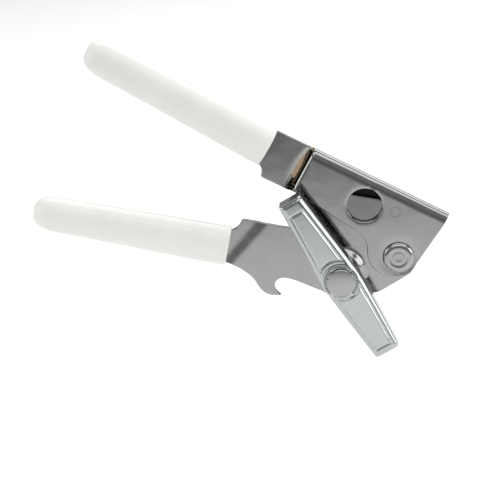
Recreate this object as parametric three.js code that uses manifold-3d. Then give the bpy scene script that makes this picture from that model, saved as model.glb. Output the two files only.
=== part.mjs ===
// Manual can opener: two pivoted steel handles with vinyl grips, a crank that drives
// a feed wheel, and a cutting wheel geared to it. Millimetres, +Z up, crank towards -Y.
// The origin is the centre of the pivot rivet's flat front face.
import * as THREE from "three";
import { mergeVertices } from "three/addons/utils/BufferGeometryUtils.js";
import Module from "manifold-3d";

const wasm = await Module();
wasm.setup();

const rad = THREE.MathUtils.degToRad;

// ---- Driving dimensions ------------------------------------------------------------

// Fits: radial play of a turning fit, gap between seated pieces, gap beside moving ones.
const RUNNING_PLAY = 0.12;
const SEAT_GAP = 0.1;
const MOVING_GAP = 0.3;

// Sheet metal.
const UPPER_SHEET = 1.5;
const LOWER_SHEET = 1.6;
const CRANK_SHEET = 1.2;

// Slopes of the two handles at rest, and the crank's lean from upright.
const UPPER_SLOPE = 28.5;
const LOWER_SLOPE = 11.7;
const CRANK_LEAN = 30;

// Upper handle, measured along its own straight back and up from the pivot.
const FOLD_HEIGHT = 28.6;
const HEAD_REAR = 57.5;
const HEAD_FRONT = 10.9;
const NECK_TOP = 28.1;
const NECK_LOW = 5.3;
const JOGGLE_OVERLAP = 4;
const SIGHT_HOLE_RADIUS = 8;
const SIGHT_HOLE = { along: -25.4, up: 15.2 };
const UPPER_GRIP = { along: -76.2, up: 19.2, tilt: 2.5 };

// Lower handle, in the same way.
const SHAFT = { along: -24.4, up: -12.2 };
const LOWER_TOP = 25.3;
const LOWER_SHOULDER = 4.7;
const LOWER_GRIP = { along: -77.3, up: -9.8, tilt: 0.7 };
const BOSS_RADIUS = 12;
const BOSS_TOP_RADIUS = 8.5;
const BOSS_HEIGHT = 2.2;
const BOSS_MARGIN = 1;

// Grips and the tangs in them.
const GRIP_LENGTH = 91.4;
const GRIP_WIDTH = 18.9;
const GRIP_END_WIDTH = 16.9;
const GRIP_THICKNESS = 12.6;
const TANG_WIDTH = 10.5;
const TANG_LENGTH = 76;
const TANG_ROOT = 2;
const TANG_PLAY = 0.3;

// Pivot rivet.
const PIVOT_SHANK_RADIUS = 4;
const PIVOT_HEAD_RADIUS = 7.2;
const PIVOT_FLAT_RADIUS = 5.4;
const PIVOT_HEAD_HEIGHT = 1.5;
const PIVOT_LOBE_RADIUS = 9.6;
const WASHER_THICKNESS = 0.8;

// Crank key.
const CRANK_STANDOFF = 12.9;
const CRANK_DEPTH = 7;
const CRANK_UP = 44.9;
const CRANK_DOWN = 41.9;
const CRANK_TOP_WIDTH = 11.4;
const CRANK_HUB_WIDTH = 18;
const CRANK_FOOT_WIDTH = 12.4;
const CRANK_EDGE_ROUND = 1.4;

// Drive shaft and what it carries.
const SHAFT_RADIUS = 3.5;
const SHAFT_HEAD_RADIUS = 6.05;
const SHAFT_HEAD_HEIGHT = 0.9;
const SHAFT_END_RADIUS = 4.2;
const SHAFT_END_HEIGHT = 0.9;
const LOCK_RING_RADIUS = 8.1;
const LOCK_RING_THICKNESS = 0.8;
const LOCK_RING_TEETH = 24;
const LOCK_TOOTH_DEPTH = 1.1;
const COLLAR_RADIUS = 5.6;
const SPRING_WASHER_THICKNESS = 0.6;
const SPRING_WASHER_RADIUS = 6.4;
const BUSHING_WALL = 1.1;
const BUSHING_FLANGE_RADIUS = 6.6;
const BUSHING_FLANGE_THICKNESS = 1;
const SPACER_RADIUS = 5.2;
const FEED_WHEEL_RADIUS = 8;
const FEED_WHEEL_THICKNESS = 2.5;
const FEED_WHEEL_TEETH = 26;
const FEED_TOOTH_DEPTH = 0.7;

// Gears: two equal wheels, so the centre distance is teeth times module.
const GEAR_MODULE = 1.2;
const GEAR_TEETH = 15;
const GEAR_THICKNESS = 2;
const GEAR_ADDENDUM = 0.85;
const GEAR_DEDENDUM = 1.15;
const GEAR_BACKLASH = 0.3;
const PRESSURE_ANGLE = 22.5;

// Cutting wheel and its stud, set above the drive shaft at this direction from +X.
const CUTTER_DIRECTION = 85.6;
const BLADE_OVERLAP = 1.2;
const BLADE_THICKNESS = 1.3;
const BLADE_BEVEL = 2.6;
const STUD_RADIUS = 3.5;
const STUD_TENON_RADIUS = 3;
const STUD_BORE_RADIUS = 1.7;
const STUD_BORE_DEPTH = 6.5;
const STUD_BOSS_RADIUS = 7;
const THRUST_WASHER_THICKNESS = 0.5;
const CUTTER_BUSHING_WALL = 1.4;
const CUTTER_COLLAR_STEP = 0.6;
const SCREW_HEAD_RADIUS = 5.6;
const SCREW_HEAD_HEIGHT = 2;
const SCREW_SLOT_WIDTH = 1.3;
const SCREW_SLOT_DEPTH = 1.1;

// ---- Planes of the stack, front to back --------------------------------------------

const frontFlange = { front: PIVOT_HEAD_HEIGHT, back: PIVOT_HEAD_HEIGHT + UPPER_SHEET };
const lowerPlate = layerBehind(frontFlange.back, MOVING_GAP, LOWER_SHEET);
const backFlange = layerBehind(lowerPlate.back, MOVING_GAP, UPPER_SHEET);
const tangPlane = (lowerPlate.front + backFlange.back) / 2;
const gearLayer = layerBehind(backFlange.back, SEAT_GAP + THRUST_WASHER_THICKNESS + SEAT_GAP, GEAR_THICKNESS);
const feedLayer = layerBehind(gearLayer.back, SEAT_GAP, FEED_WHEEL_THICKNESS);
const bladeLayer = layerBehind(feedLayer.back, MOVING_GAP, BLADE_THICKNESS);
const crankFace = lowerPlate.front - CRANK_STANDOFF;

const gearDistance = GEAR_MODULE * GEAR_TEETH;
const bladeRadius = gearDistance + BLADE_OVERLAP - FEED_WHEEL_RADIUS;

// The shaft and the cutter stud in the opener's frame, and the stud in the upper handle's.
const shaftCentre = turnedPoint(SHAFT, LOWER_SLOPE);
const cutterCentre = {
  along: shaftCentre.along + gearDistance * Math.cos(rad(CUTTER_DIRECTION)),
  up: shaftCentre.up + gearDistance * Math.sin(rad(CUTTER_DIRECTION)),
};
const stud = turnedPoint(cutterCentre, -UPPER_SLOPE);

// ---- Finishes ----------------------------------------------------------------------

const finishes = {
  plated: { color: 0x9c9c98, roughness: 0.25, metalness: 1 },
  polished: { color: 0xb4b4b0, roughness: 0.15, metalness: 1 },
  hardened: { color: 0x8a8a88, roughness: 0.35, metalness: 1 },
  bronze: { color: 0x9a7a4a, roughness: 0.4, metalness: 1 },
  vinyl: { color: 0xeeeeea, roughness: 0.45, metalness: 0 },
};

// ---- Helpers -----------------------------------------------------------------------

function layerBehind(previous, gap, thickness) {
  return { front: previous + gap, back: previous + gap + thickness };
}

// A point turned about Y, as a group with that rotation turns it.
function turnedPoint(point, degrees) {
  const c = Math.cos(rad(degrees));
  const s = Math.sin(rad(degrees));
  return { along: point.along * c + point.up * s, up: point.up * c - point.along * s };
}

function toSolid(geometry) {
  const bare = geometry.clone();
  bare.deleteAttribute("normal");
  bare.deleteAttribute("uv");
  const merged = mergeVertices(bare, 1e-4);
  const mesh = new wasm.Mesh({
    numProp: 3,
    vertProperties: merged.attributes.position.array,
    triVerts: new Uint32Array(merged.index.array),
  });
  return new wasm.Manifold(mesh);
}

function toGeometry(solid) {
  const mesh = solid.getMesh();
  const geometry = new THREE.BufferGeometry();
  geometry.setAttribute("position", new THREE.BufferAttribute(mesh.vertProperties, 3));
  geometry.setIndex(new THREE.BufferAttribute(mesh.triVerts, 1));
  return geometry;
}

function joined(...geometries) {
  return toGeometry(geometries.map(toSolid).reduce((sum, next) => sum.add(next)));
}

function cut(geometry, ...tools) {
  return toGeometry(tools.map(toSolid).reduce((rest, tool) => rest.subtract(tool), toSolid(geometry)));
}

// An outline in the X-Z plane made into a plate between two Y planes.
function plate(shape, front, back, curveSegments = 8) {
  const options = { depth: back - front, bevelEnabled: false, curveSegments };
  return new THREE.ExtrudeGeometry(shape, options).rotateX(Math.PI / 2).translate(0, back, 0);
}

// A turned piece about the Y axis from [radius, y] points, listed with the solid on their left.
function turned(points, segments = 40) {
  return new THREE.LatheGeometry(points.map(([r, y]) => new THREE.Vector2(r, y)), segments);
}

function washer(bore, radius, front, back, segments = 40) {
  const section = [[bore, front], [radius, front], [radius, back], [bore, back], [bore, front]];
  return turned(section, segments);
}

function cylinder(radius, front, back, segments = 40) {
  return turned([[0, front], [radius, front], [radius, back], [0, back]], segments);
}

function roundHole(shape, centre, radius) {
  const hole = new THREE.Path();
  hole.absarc(centre.along, centre.up, radius, 0, 2 * Math.PI, true);
  shape.holes.push(hole);
}

// A ring of equal V-shaped teeth, as on a serrated wheel.
function serratedShape(teeth, tipRadius, depth) {
  const shape = new THREE.Shape();
  for (let i = 0; i < 2 * teeth; i++) {
    const radius = i % 2 ? tipRadius - depth : tipRadius;
    const angle = (Math.PI * i) / teeth;
    const point = [radius * Math.cos(angle), radius * Math.sin(angle)];
    if (i === 0) shape.moveTo(...point);
    else shape.lineTo(...point);
  }
  shape.closePath();
  return shape;
}

// An involute gear outline with the middle of one tooth at the angle phase.
function gearShape(phase) {
  const pitchRadius = gearDistance / 2;
  const baseRadius = pitchRadius * Math.cos(rad(PRESSURE_ANGLE));
  const tipRadius = pitchRadius + GEAR_ADDENDUM * GEAR_MODULE;
  const rootRadius = pitchRadius - GEAR_DEDENDUM * GEAR_MODULE;
  const involute = (radius) => {
    const pressure = Math.acos(Math.min(1, baseRadius / radius));
    return Math.tan(pressure) - pressure;
  };
  const halfAtPitch = (Math.PI * GEAR_MODULE) / 2 / 2 - GEAR_BACKLASH / 2;
  const halfAngle = (radius) => halfAtPitch / pitchRadius + involute(pitchRadius) - involute(radius);
  const flank = [baseRadius, (baseRadius + pitchRadius) / 2, pitchRadius, (pitchRadius + tipRadius) / 2, tipRadius];
  const points = [];
  for (let tooth = 0; tooth < GEAR_TEETH; tooth++) {
    const middle = phase + (2 * Math.PI * tooth) / GEAR_TEETH;
    const rising = flank.map((radius) => [radius, middle - halfAngle(radius)]);
    const falling = flank.map((radius) => [radius, middle + halfAngle(radius)]).reverse();
    const rootHalf = halfAngle(baseRadius);
    points.push([rootRadius, middle - rootHalf], ...rising, ...falling, [rootRadius, middle + rootHalf]);
  }
  const flat = points.map(([r, angle]) => new THREE.Vector2(r * Math.cos(angle), r * Math.sin(angle)));
  return new THREE.Shape(flat);
}

function node(name, geometry, finish) {
  const mesh = new THREE.Mesh(geometry, new THREE.MeshStandardMaterial(finishes[finish]));
  mesh.name = name;
  return mesh;
}

function axisGroup(centre, ...meshes) {
  const group = new THREE.Group();
  group.position.set(centre.along, 0, centre.up);
  group.add(...meshes);
  return group;
}

// ---- Upper handle: tang, neck and folded head in one stamping ------------------------

const foldRadius = (backFlange.back - frontFlange.front) / 2;
const foldAxis = FOLD_HEIGHT - foldRadius;

// Both sides of the head share the line round the pivot and up the front edge.
function closeHeadFront(shape) {
  const lobe = PIVOT_LOBE_RADIUS;
  shape.bezierCurveTo(0.73 * lobe, -0.79 * lobe, lobe, -0.41 * lobe, 0.92 * lobe, 0.06 * lobe);
  shape.lineTo(HEAD_FRONT, foldAxis);
}

function frontFlangeShape() {
  const lobe = PIVOT_LOBE_RADIUS;
  const shape = new THREE.Shape();
  shape.moveTo(-HEAD_REAR, foldAxis);
  shape.lineTo(-HEAD_REAR, 8.9);
  shape.quadraticCurveTo(-HEAD_REAR, 7, -55.1, 6.7);
  shape.lineTo(-29.8, 3.5);
  shape.bezierCurveTo(-20, 3.4, -16, 0.9, -13.8, -4.2);
  shape.bezierCurveTo(-10.9, -9.9, -3.2, -12.9, 0.26 * lobe, -1.03 * lobe);
  closeHeadFront(shape);
  roundHole(shape, SIGHT_HOLE, SIGHT_HOLE_RADIUS);
  roundHole(shape, { along: 0, up: 0 }, PIVOT_SHANK_RADIUS + RUNNING_PLAY);
  return shape;
}

function backFlangeShape() {
  const lobe = PIVOT_LOBE_RADIUS;
  const boss = STUD_BOSS_RADIUS;
  const shape = new THREE.Shape();
  shape.moveTo(-HEAD_REAR - JOGGLE_OVERLAP, foldAxis + foldRadius / 2);
  shape.lineTo(-HEAD_REAR - JOGGLE_OVERLAP, NECK_LOW);
  shape.lineTo(-HEAD_REAR + JOGGLE_OVERLAP, NECK_LOW);
  shape.bezierCurveTo(-45, NECK_LOW, stud.along - boss, stud.up + boss, stud.along - boss, stud.up);
  shape.absarc(stud.along, stud.up, boss, Math.PI, 1.72 * Math.PI, false);
  shape.bezierCurveTo(-15.5, -2.5, -12, -2, -lobe, -0.3 * lobe);
  shape.bezierCurveTo(-0.9 * lobe, -0.75 * lobe, -0.4 * lobe, -1.12 * lobe, 0.26 * lobe, -1.03 * lobe);
  closeHeadFront(shape);
  shape.lineTo(-HEAD_REAR, foldAxis);
  shape.lineTo(-HEAD_REAR, foldAxis + foldRadius / 2);
  roundHole(shape, { along: 0, up: 0 }, PIVOT_SHANK_RADIUS + RUNNING_PLAY);
  roundHole(shape, stud, STUD_TENON_RADIUS + SEAT_GAP);
  return shape;
}

// A point on the edge of a grip's mouth, at a height from the grip's middle.
function mouthPoint(grip, height) {
  const tilt = rad(grip.tilt);
  return [grip.along + height * Math.sin(tilt), grip.up + height * Math.cos(tilt)];
}

// The neck, from the round-backed line where the sheet steps back to the grip's mouth.
function neckShape() {
  const notch = 0.47 * GRIP_WIDTH;
  const lowCorner = UPPER_GRIP.along + 3.1;
  const shape = new THREE.Shape();
  shape.moveTo(-HEAD_REAR - 1, NECK_LOW);
  shape.quadraticCurveTo(-HEAD_REAR - 3.5, 16, -HEAD_REAR - 0.5, NECK_TOP);
  shape.lineTo(...mouthPoint(UPPER_GRIP, NECK_TOP - UPPER_GRIP.up));
  shape.lineTo(...mouthPoint(UPPER_GRIP, -notch));
  shape.quadraticCurveTo(lowCorner - 0.5, UPPER_GRIP.up - notch - 0.9, lowCorner, NECK_LOW);
  shape.closePath();
  return shape;
}

// The narrow strip of a handle's sheet that fills its grip.
function tang(grip, sheet) {
  const shape = new THREE.Shape();
  const half = TANG_WIDTH / 2;
  shape.moveTo(TANG_ROOT, half);
  shape.lineTo(-TANG_LENGTH, half);
  shape.lineTo(-TANG_LENGTH, -half);
  shape.lineTo(TANG_ROOT, -half);
  shape.closePath();
  const strip = plate(shape, tangPlane - sheet / 2, tangPlane + sheet / 2);
  return strip.rotateY(rad(grip.tilt)).translate(grip.along, 0, grip.up);
}

// The fold: a half-round bend of the sheet with short straight sides, run along the head.
function foldGeometry() {
  const middle = (backFlange.back + frontFlange.front) / 2;
  const inner = foldRadius - UPPER_SHEET;
  const lap = UPPER_SHEET / 2;
  const shape = new THREE.Shape();
  shape.moveTo(middle + foldRadius, foldAxis - lap);
  shape.lineTo(middle + foldRadius, foldAxis);
  shape.absarc(middle, foldAxis, foldRadius, 0, Math.PI, false);
  shape.lineTo(middle - foldRadius, foldAxis - lap);
  shape.lineTo(middle - inner, foldAxis - lap);
  shape.lineTo(middle - inner, foldAxis);
  shape.absarc(middle, foldAxis, inner, Math.PI, 0, true);
  shape.lineTo(middle + inner, foldAxis - lap);
  shape.closePath();
  const length = HEAD_REAR + HEAD_FRONT;
  const options = { depth: length, bevelEnabled: false, curveSegments: 10 };
  const bend = new THREE.ExtrudeGeometry(shape, options);
  return bend.rotateY(Math.PI / 2).rotateX(Math.PI / 2).translate(-HEAD_REAR, 0, 0);
}

function upperHandle() {
  const half = UPPER_SHEET / 2;
  return joined(
    plate(frontFlangeShape(), frontFlange.front, frontFlange.back, 14),
    foldGeometry(),
    plate(backFlangeShape(), backFlange.front, backFlange.back, 12),
    plate(neckShape(), tangPlane - half, tangPlane + half),
    tang(UPPER_GRIP, UPPER_SHEET),
  );
}

// ---- Lower handle: plate with bottle hook and shaft boss, and its tang ----------------

function lowerPlateShape() {
  const boss = BOSS_RADIUS + BOSS_MARGIN;
  const shape = new THREE.Shape();
  shape.moveTo(-64.6, LOWER_SHOULDER);
  shape.lineTo(-76.2, -16.6);
  shape.bezierCurveTo(-71.5, -19, -65.5, -21, -62.6, -24);
  shape.bezierCurveTo(-60, -27.5, -57.5, -30, -53.5, -29.8);
  shape.quadraticCurveTo(-50.8, -29.6, -49.2, -28.7);
  shape.bezierCurveTo(-55.4, -26.2, -54, -20.2, -48.5, -20.2);
  shape.bezierCurveTo(-43, -20.2, -38, -22.4, SHAFT.along - 0.47 * boss, SHAFT.up - 0.88 * boss);
  shape.absarc(SHAFT.along, SHAFT.up, boss, 1.344 * Math.PI, 1.6 * Math.PI, false);
  shape.lineTo(-6.5, -19.8);
  shape.quadraticCurveTo(-4.6, -18.9, -3.2, -17.4);
  shape.lineTo(6.4, -8.4);
  shape.quadraticCurveTo(8.2, -6.8, 7.7, -3.5);
  shape.absarc(0, 0, Math.hypot(7.7, 3.5), Math.atan2(-3.5, 7.7), 0.12 * Math.PI, false);
  shape.bezierCurveTo(7.6, 12, 3, LOWER_TOP, -5, LOWER_TOP);
  shape.lineTo(-47, LOWER_TOP);
  shape.quadraticCurveTo(-50, LOWER_TOP, -50, LOWER_TOP - 3);
  shape.lineTo(-50, LOWER_SHOULDER + 2.8);
  shape.quadraticCurveTo(-50, LOWER_SHOULDER, -52.8, LOWER_SHOULDER);
  shape.closePath();
  roundHole(shape, { along: 0, up: 0 }, PIVOT_SHANK_RADIUS + RUNNING_PLAY);
  return shape;
}

// The sheet steps back along a slanted crease, and this is the part behind the crease.
function lowerNeckShape() {
  const shape = new THREE.Shape();
  shape.moveTo(-62.2, LOWER_SHOULDER);
  shape.lineTo(-72.8, LOWER_SHOULDER);
  const corner = mouthPoint(LOWER_GRIP, 0.45 * GRIP_WIDTH);
  shape.bezierCurveTo(-74.2, 3.6, -73.6, 0.4, ...corner);
  shape.lineTo(...mouthPoint(LOWER_GRIP, -0.41 * GRIP_WIDTH));
  shape.lineTo(-73.4, -18);
  shape.closePath();
  return shape;
}

function lowerHandle() {
  const half = LOWER_SHEET / 2;
  const bossFront = lowerPlate.front - BOSS_HEIGHT;
  const sheet = joined(
    plate(lowerPlateShape(), lowerPlate.front, lowerPlate.back, 12),
    plate(lowerNeckShape(), tangPlane - half, tangPlane + half),
    tang(LOWER_GRIP, LOWER_SHEET),
    turned([
      [0, bossFront],
      [BOSS_TOP_RADIUS, bossFront],
      [BOSS_RADIUS, lowerPlate.front],
      [BOSS_RADIUS, lowerPlate.back],
      [0, lowerPlate.back],
    ]).translate(SHAFT.along, 0, SHAFT.up),
  );
  const hollow = turned([
    [0, bossFront + LOWER_SHEET],
    [BOSS_TOP_RADIUS - LOWER_SHEET / 2, bossFront + LOWER_SHEET],
    [BOSS_RADIUS - LOWER_SHEET / 2, lowerPlate.back + MOVING_GAP],
    [0, lowerPlate.back + MOVING_GAP],
  ]).translate(SHAFT.along, 0, SHAFT.up);
  const bore = cylinder(bushingRadius + SEAT_GAP, bossFront - MOVING_GAP, lowerPlate.back);
  return cut(sheet, hollow, bore.translate(SHAFT.along, 0, SHAFT.up));
}

// ---- Grips -------------------------------------------------------------------------

// A sleeve along -X from its mouth, oval across, with a slot for the tang.
function gripSleeve(sheet) {
  const mouth = GRIP_WIDTH / 2;
  const tail = GRIP_END_WIDTH / 2;
  const profile = [
    [0, 0],
    [mouth, 0],
    [mouth - 0.15 * (mouth - tail), 0.3 * GRIP_LENGTH],
    [mouth - 0.4 * (mouth - tail), 0.5 * GRIP_LENGTH],
    [tail, 0.8 * GRIP_LENGTH],
  ];
  const capStart = GRIP_LENGTH - 0.8 * tail;
  const capSteps = 6;
  for (let i = 0; i < capSteps; i++) {
    const angle = (i / capSteps) * (Math.PI / 2);
    const along = capStart + (GRIP_LENGTH - capStart) * Math.sin(angle);
    profile.push([0.95 * tail * Math.cos(angle) ** 0.6, along]);
  }
  profile.push([0, GRIP_LENGTH]);
  const sleeve = turned(profile, 32).scale(1, 1, GRIP_THICKNESS / GRIP_WIDTH);
  const play = 2 * TANG_PLAY;
  const slot = new THREE.BoxGeometry(TANG_WIDTH + play, 2 * TANG_LENGTH + play, sheet + play);
  return cut(sleeve, slot).rotateX(Math.PI / 2).rotateY(-Math.PI / 2);
}

function seatedGrip(name, sheet, grip) {
  const mesh = node(name, gripSleeve(sheet), "vinyl");
  const tilt = rad(grip.tilt);
  const gap = { along: -SEAT_GAP * Math.cos(tilt), up: SEAT_GAP * Math.sin(tilt) };
  mesh.position.set(grip.along + gap.along, tangPlane, grip.up + gap.up);
  mesh.rotation.y = tilt;
  return mesh;
}

// ---- Pivot -------------------------------------------------------------------------

const pivotWasher = layerBehind(backFlange.back, SEAT_GAP, WASHER_THICKNESS);

function pivotRivet() {
  const headBack = frontFlange.front - SEAT_GAP;
  const tailFront = pivotWasher.back + SEAT_GAP;
  const tailRadius = PIVOT_SHANK_RADIUS + 2;
  return turned([
    [0, 0],
    [PIVOT_FLAT_RADIUS, 0],
    [(PIVOT_FLAT_RADIUS + PIVOT_HEAD_RADIUS) / 2, 0.2 * PIVOT_HEAD_HEIGHT],
    [PIVOT_HEAD_RADIUS, 0.7 * PIVOT_HEAD_HEIGHT],
    [PIVOT_HEAD_RADIUS, headBack],
    [PIVOT_SHANK_RADIUS, headBack],
    [PIVOT_SHANK_RADIUS, tailFront],
    [tailRadius, tailFront],
    [0.9 * tailRadius, tailFront + 0.9],
    [0.5 * tailRadius, tailFront + 1.3],
    [0, tailFront + 1.3],
  ]);
}

// ---- Crank and drive shaft, about the shaft's own axis --------------------------------

const bushingRadius = SHAFT_RADIUS + RUNNING_PLAY + BUSHING_WALL;
const bossFront = lowerPlate.front - BOSS_HEIGHT;
const bushingFlange = { front: bossFront - SEAT_GAP - BUSHING_FLANGE_THICKNESS, back: bossFront - SEAT_GAP };
const springWasher = {
  front: bushingFlange.front - SEAT_GAP - SPRING_WASHER_THICKNESS,
  back: bushingFlange.front - SEAT_GAP,
};
const lockRing = { front: crankFace - SEAT_GAP - LOCK_RING_THICKNESS, back: crankFace - SEAT_GAP };
const shaftHead = { front: lockRing.front - SEAT_GAP - SHAFT_HEAD_HEIGHT, back: lockRing.front - SEAT_GAP };
const shaftBore = SHAFT_RADIUS + SEAT_GAP;

function crankShape() {
  const shape = new THREE.Shape();
  shape.moveTo(-CRANK_FOOT_WIDTH / 2, -CRANK_DOWN);
  shape.lineTo(CRANK_FOOT_WIDTH / 2, -CRANK_DOWN);
  shape.quadraticCurveTo(CRANK_HUB_WIDTH / 2, -0.2 * CRANK_DOWN, CRANK_HUB_WIDTH / 2, 0);
  shape.lineTo(CRANK_TOP_WIDTH / 2, CRANK_UP);
  shape.lineTo(-CRANK_TOP_WIDTH / 2, CRANK_UP);
  shape.lineTo(-CRANK_HUB_WIDTH / 2, 0);
  shape.quadraticCurveTo(-CRANK_HUB_WIDTH / 2, -0.2 * CRANK_DOWN, -CRANK_FOOT_WIDTH / 2, -CRANK_DOWN);
  return shape;
}

// A tray of the outline with a rounded front edge: sunk by inset, its front face at front.
function crankTray(inset, front, back) {
  const bevel = {
    bevelEnabled: true,
    bevelSegments: 3,
    bevelSize: CRANK_EDGE_ROUND,
    bevelThickness: CRANK_EDGE_ROUND,
    bevelOffset: -CRANK_EDGE_ROUND - inset,
  };
  const depth = back - front - CRANK_EDGE_ROUND;
  const tray = new THREE.ExtrudeGeometry(crankShape(), { depth, curveSegments: 6, ...bevel });
  return tray.rotateX(Math.PI / 2).translate(0, back, 0);
}

function crankKey() {
  const back = crankFace + CRANK_DEPTH;
  const slab = new THREE.BoxGeometry(200, 20, 200).translate(0, back + 10, 0);
  const inside = crankTray(CRANK_SHEET, crankFace + CRANK_SHEET, back + CRANK_EDGE_ROUND);
  const shell = cut(crankTray(0, crankFace, back), slab, inside);
  const crank = cut(shell, cylinder(shaftBore, crankFace - 1, back));
  return crank.rotateY(rad(-CRANK_LEAN - LOWER_SLOPE));
}

function lockRingGeometry() {
  const shape = serratedShape(LOCK_RING_TEETH, LOCK_RING_RADIUS, LOCK_TOOTH_DEPTH);
  roundHole(shape, { along: 0, up: 0 }, shaftBore);
  return plate(shape, lockRing.front, lockRing.back);
}

function driveShaft() {
  const end = feedLayer.back + SEAT_GAP;
  return turned([
    [0, shaftHead.front],
    [SHAFT_HEAD_RADIUS, shaftHead.front],
    [SHAFT_HEAD_RADIUS, shaftHead.back],
    [SHAFT_RADIUS, shaftHead.back],
    [SHAFT_RADIUS, end],
    [SHAFT_END_RADIUS, end],
    [0.75 * SHAFT_END_RADIUS, end + SHAFT_END_HEIGHT],
    [0, end + SHAFT_END_HEIGHT],
  ]);
}

function shaftBushing() {
  const bore = SHAFT_RADIUS + RUNNING_PLAY;
  return turned([
    [bore, bushingFlange.front],
    [BUSHING_FLANGE_RADIUS, bushingFlange.front],
    [BUSHING_FLANGE_RADIUS, bushingFlange.back],
    [bushingRadius, bushingFlange.back],
    [bushingRadius, lowerPlate.back],
    [bore, lowerPlate.back],
    [bore, bushingFlange.front],
  ]);
}

function feedWheel() {
  const shape = serratedShape(FEED_WHEEL_TEETH, FEED_WHEEL_RADIUS, FEED_TOOTH_DEPTH);
  roundHole(shape, { along: 0, up: 0 }, shaftBore);
  return plate(shape, feedLayer.front, feedLayer.back);
}

function driveGear() {
  const shape = gearShape(rad(CUTTER_DIRECTION + LOWER_SLOPE));
  roundHole(shape, { along: 0, up: 0 }, shaftBore);
  return plate(shape, gearLayer.front, gearLayer.back);
}

function driveAxis() {
  const collar = { front: crankFace + CRANK_SHEET + SEAT_GAP, back: springWasher.front - SEAT_GAP };
  return axisGroup(
    SHAFT,
    node("crank_key", crankKey(), "plated"),
    node("crank_lock_ring", lockRingGeometry(), "polished"),
    node("drive_shaft", driveShaft(), "plated"),
    node("crank_collar", washer(shaftBore, COLLAR_RADIUS, collar.front, collar.back), "polished"),
    node("crank_spring_washer", washer(shaftBore, SPRING_WASHER_RADIUS, springWasher.front, springWasher.back), "hardened"),
    node("shaft_bushing", shaftBushing(), "bronze"),
    node("drive_spacer", washer(shaftBore, SPACER_RADIUS, backFlange.front, gearLayer.front - SEAT_GAP), "plated"),
    node("drive_gear", driveGear(), "hardened"),
    node("feed_wheel", feedWheel(), "hardened"),
  );
}

// ---- Cutter, about the stud's own axis ------------------------------------------------

const cutterBore = STUD_RADIUS + RUNNING_PLAY;
const cutterSeat = cutterBore + CUTTER_BUSHING_WALL;
const cutterSpring = layerBehind(bladeLayer.back, SEAT_GAP, SPRING_WASHER_THICKNESS);
const thrustWasher = layerBehind(backFlange.back, SEAT_GAP, THRUST_WASHER_THICKNESS);

function cutterStud() {
  const end = cutterSpring.back + SEAT_GAP;
  const shoulder = backFlange.back + SEAT_GAP;
  return turned([
    [0, backFlange.front],
    [STUD_TENON_RADIUS, backFlange.front],
    [STUD_TENON_RADIUS, shoulder],
    [STUD_RADIUS, shoulder],
    [STUD_RADIUS, end],
    [STUD_BORE_RADIUS, end],
    [STUD_BORE_RADIUS, end - STUD_BORE_DEPTH],
    [0, end - STUD_BORE_DEPTH],
  ]);
}

// The gear and the cutting wheel are pressed on the two ends of this bush, against its collar.
function cutterBushing() {
  const collar = cutterSeat + CUTTER_COLLAR_STEP;
  return turned([
    [cutterBore, gearLayer.front],
    [cutterSeat, gearLayer.front],
    [cutterSeat, gearLayer.back + SEAT_GAP],
    [collar, gearLayer.back + SEAT_GAP],
    [collar, bladeLayer.front - SEAT_GAP],
    [cutterSeat, bladeLayer.front - SEAT_GAP],
    [cutterSeat, bladeLayer.back],
    [cutterBore, bladeLayer.back],
    [cutterBore, gearLayer.front],
  ]);
}

function cuttingWheel() {
  const bore = cutterSeat + SEAT_GAP;
  const edge = bladeLayer.front + 0.12;
  return turned([
    [bore, bladeLayer.front],
    [bladeRadius, bladeLayer.front],
    [bladeRadius, edge],
    [bladeRadius - BLADE_BEVEL, bladeLayer.back],
    [bore, bladeLayer.back],
    [bore, bladeLayer.front],
  ], 56);
}

function cutterGear() {
  const halfTooth = Math.PI / GEAR_TEETH;
  const shape = gearShape(rad(CUTTER_DIRECTION + UPPER_SLOPE) + Math.PI + halfTooth);
  roundHole(shape, { along: 0, up: 0 }, cutterSeat + SEAT_GAP);
  return plate(shape, gearLayer.front, gearLayer.back);
}

function cutterScrew() {
  const headFront = cutterSpring.back + 2 * SEAT_GAP;
  const headBack = headFront + SCREW_HEAD_HEIGHT;
  const shank = STUD_BORE_RADIUS - RUNNING_PLAY;
  const screw = turned([
    [0, headFront - STUD_BORE_DEPTH + 1],
    [shank, headFront - STUD_BORE_DEPTH + 1],
    [shank, headFront],
    [SCREW_HEAD_RADIUS, headFront],
    [SCREW_HEAD_RADIUS, headBack - 0.4],
    [SCREW_HEAD_RADIUS - 0.5, headBack],
    [0, headBack],
  ]);
  const slot = new THREE.BoxGeometry(2 * SCREW_HEAD_RADIUS + 1, 2 * SCREW_SLOT_DEPTH, SCREW_SLOT_WIDTH);
  return cut(screw, slot.translate(0, headBack, 0));
}

function cutterAxis() {
  const ring = SPRING_WASHER_RADIUS - 0.8;
  return axisGroup(
    stud,
    node("cutter_stud", cutterStud(), "hardened"),
    node("cutter_thrust_washer", washer(cutterBore, ring, thrustWasher.front, thrustWasher.back), "plated"),
    node("cutter_bushing", cutterBushing(), "plated"),
    node("cutter_gear", cutterGear(), "hardened"),
    node("cutting_wheel", cuttingWheel(), "hardened"),
    node("cutter_spring_washer", washer(cutterBore, ring, cutterSpring.front, cutterSpring.back), "hardened"),
    node("cutter_screw", cutterScrew(), "plated"),
  );
}

// ---- Assembly ------------------------------------------------------------------------

const upper = new THREE.Group();
upper.rotation.y = rad(UPPER_SLOPE);
upper.add(
  node("upper_handle", upperHandle(), "plated"),
  seatedGrip("upper_grip", UPPER_SHEET, UPPER_GRIP),
  node("pivot_rivet", pivotRivet(), "plated"),
  node("pivot_washer", washer(PIVOT_SHANK_RADIUS + SEAT_GAP, 7.4, pivotWasher.front, pivotWasher.back), "plated"),
  cutterAxis(),
);

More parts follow.
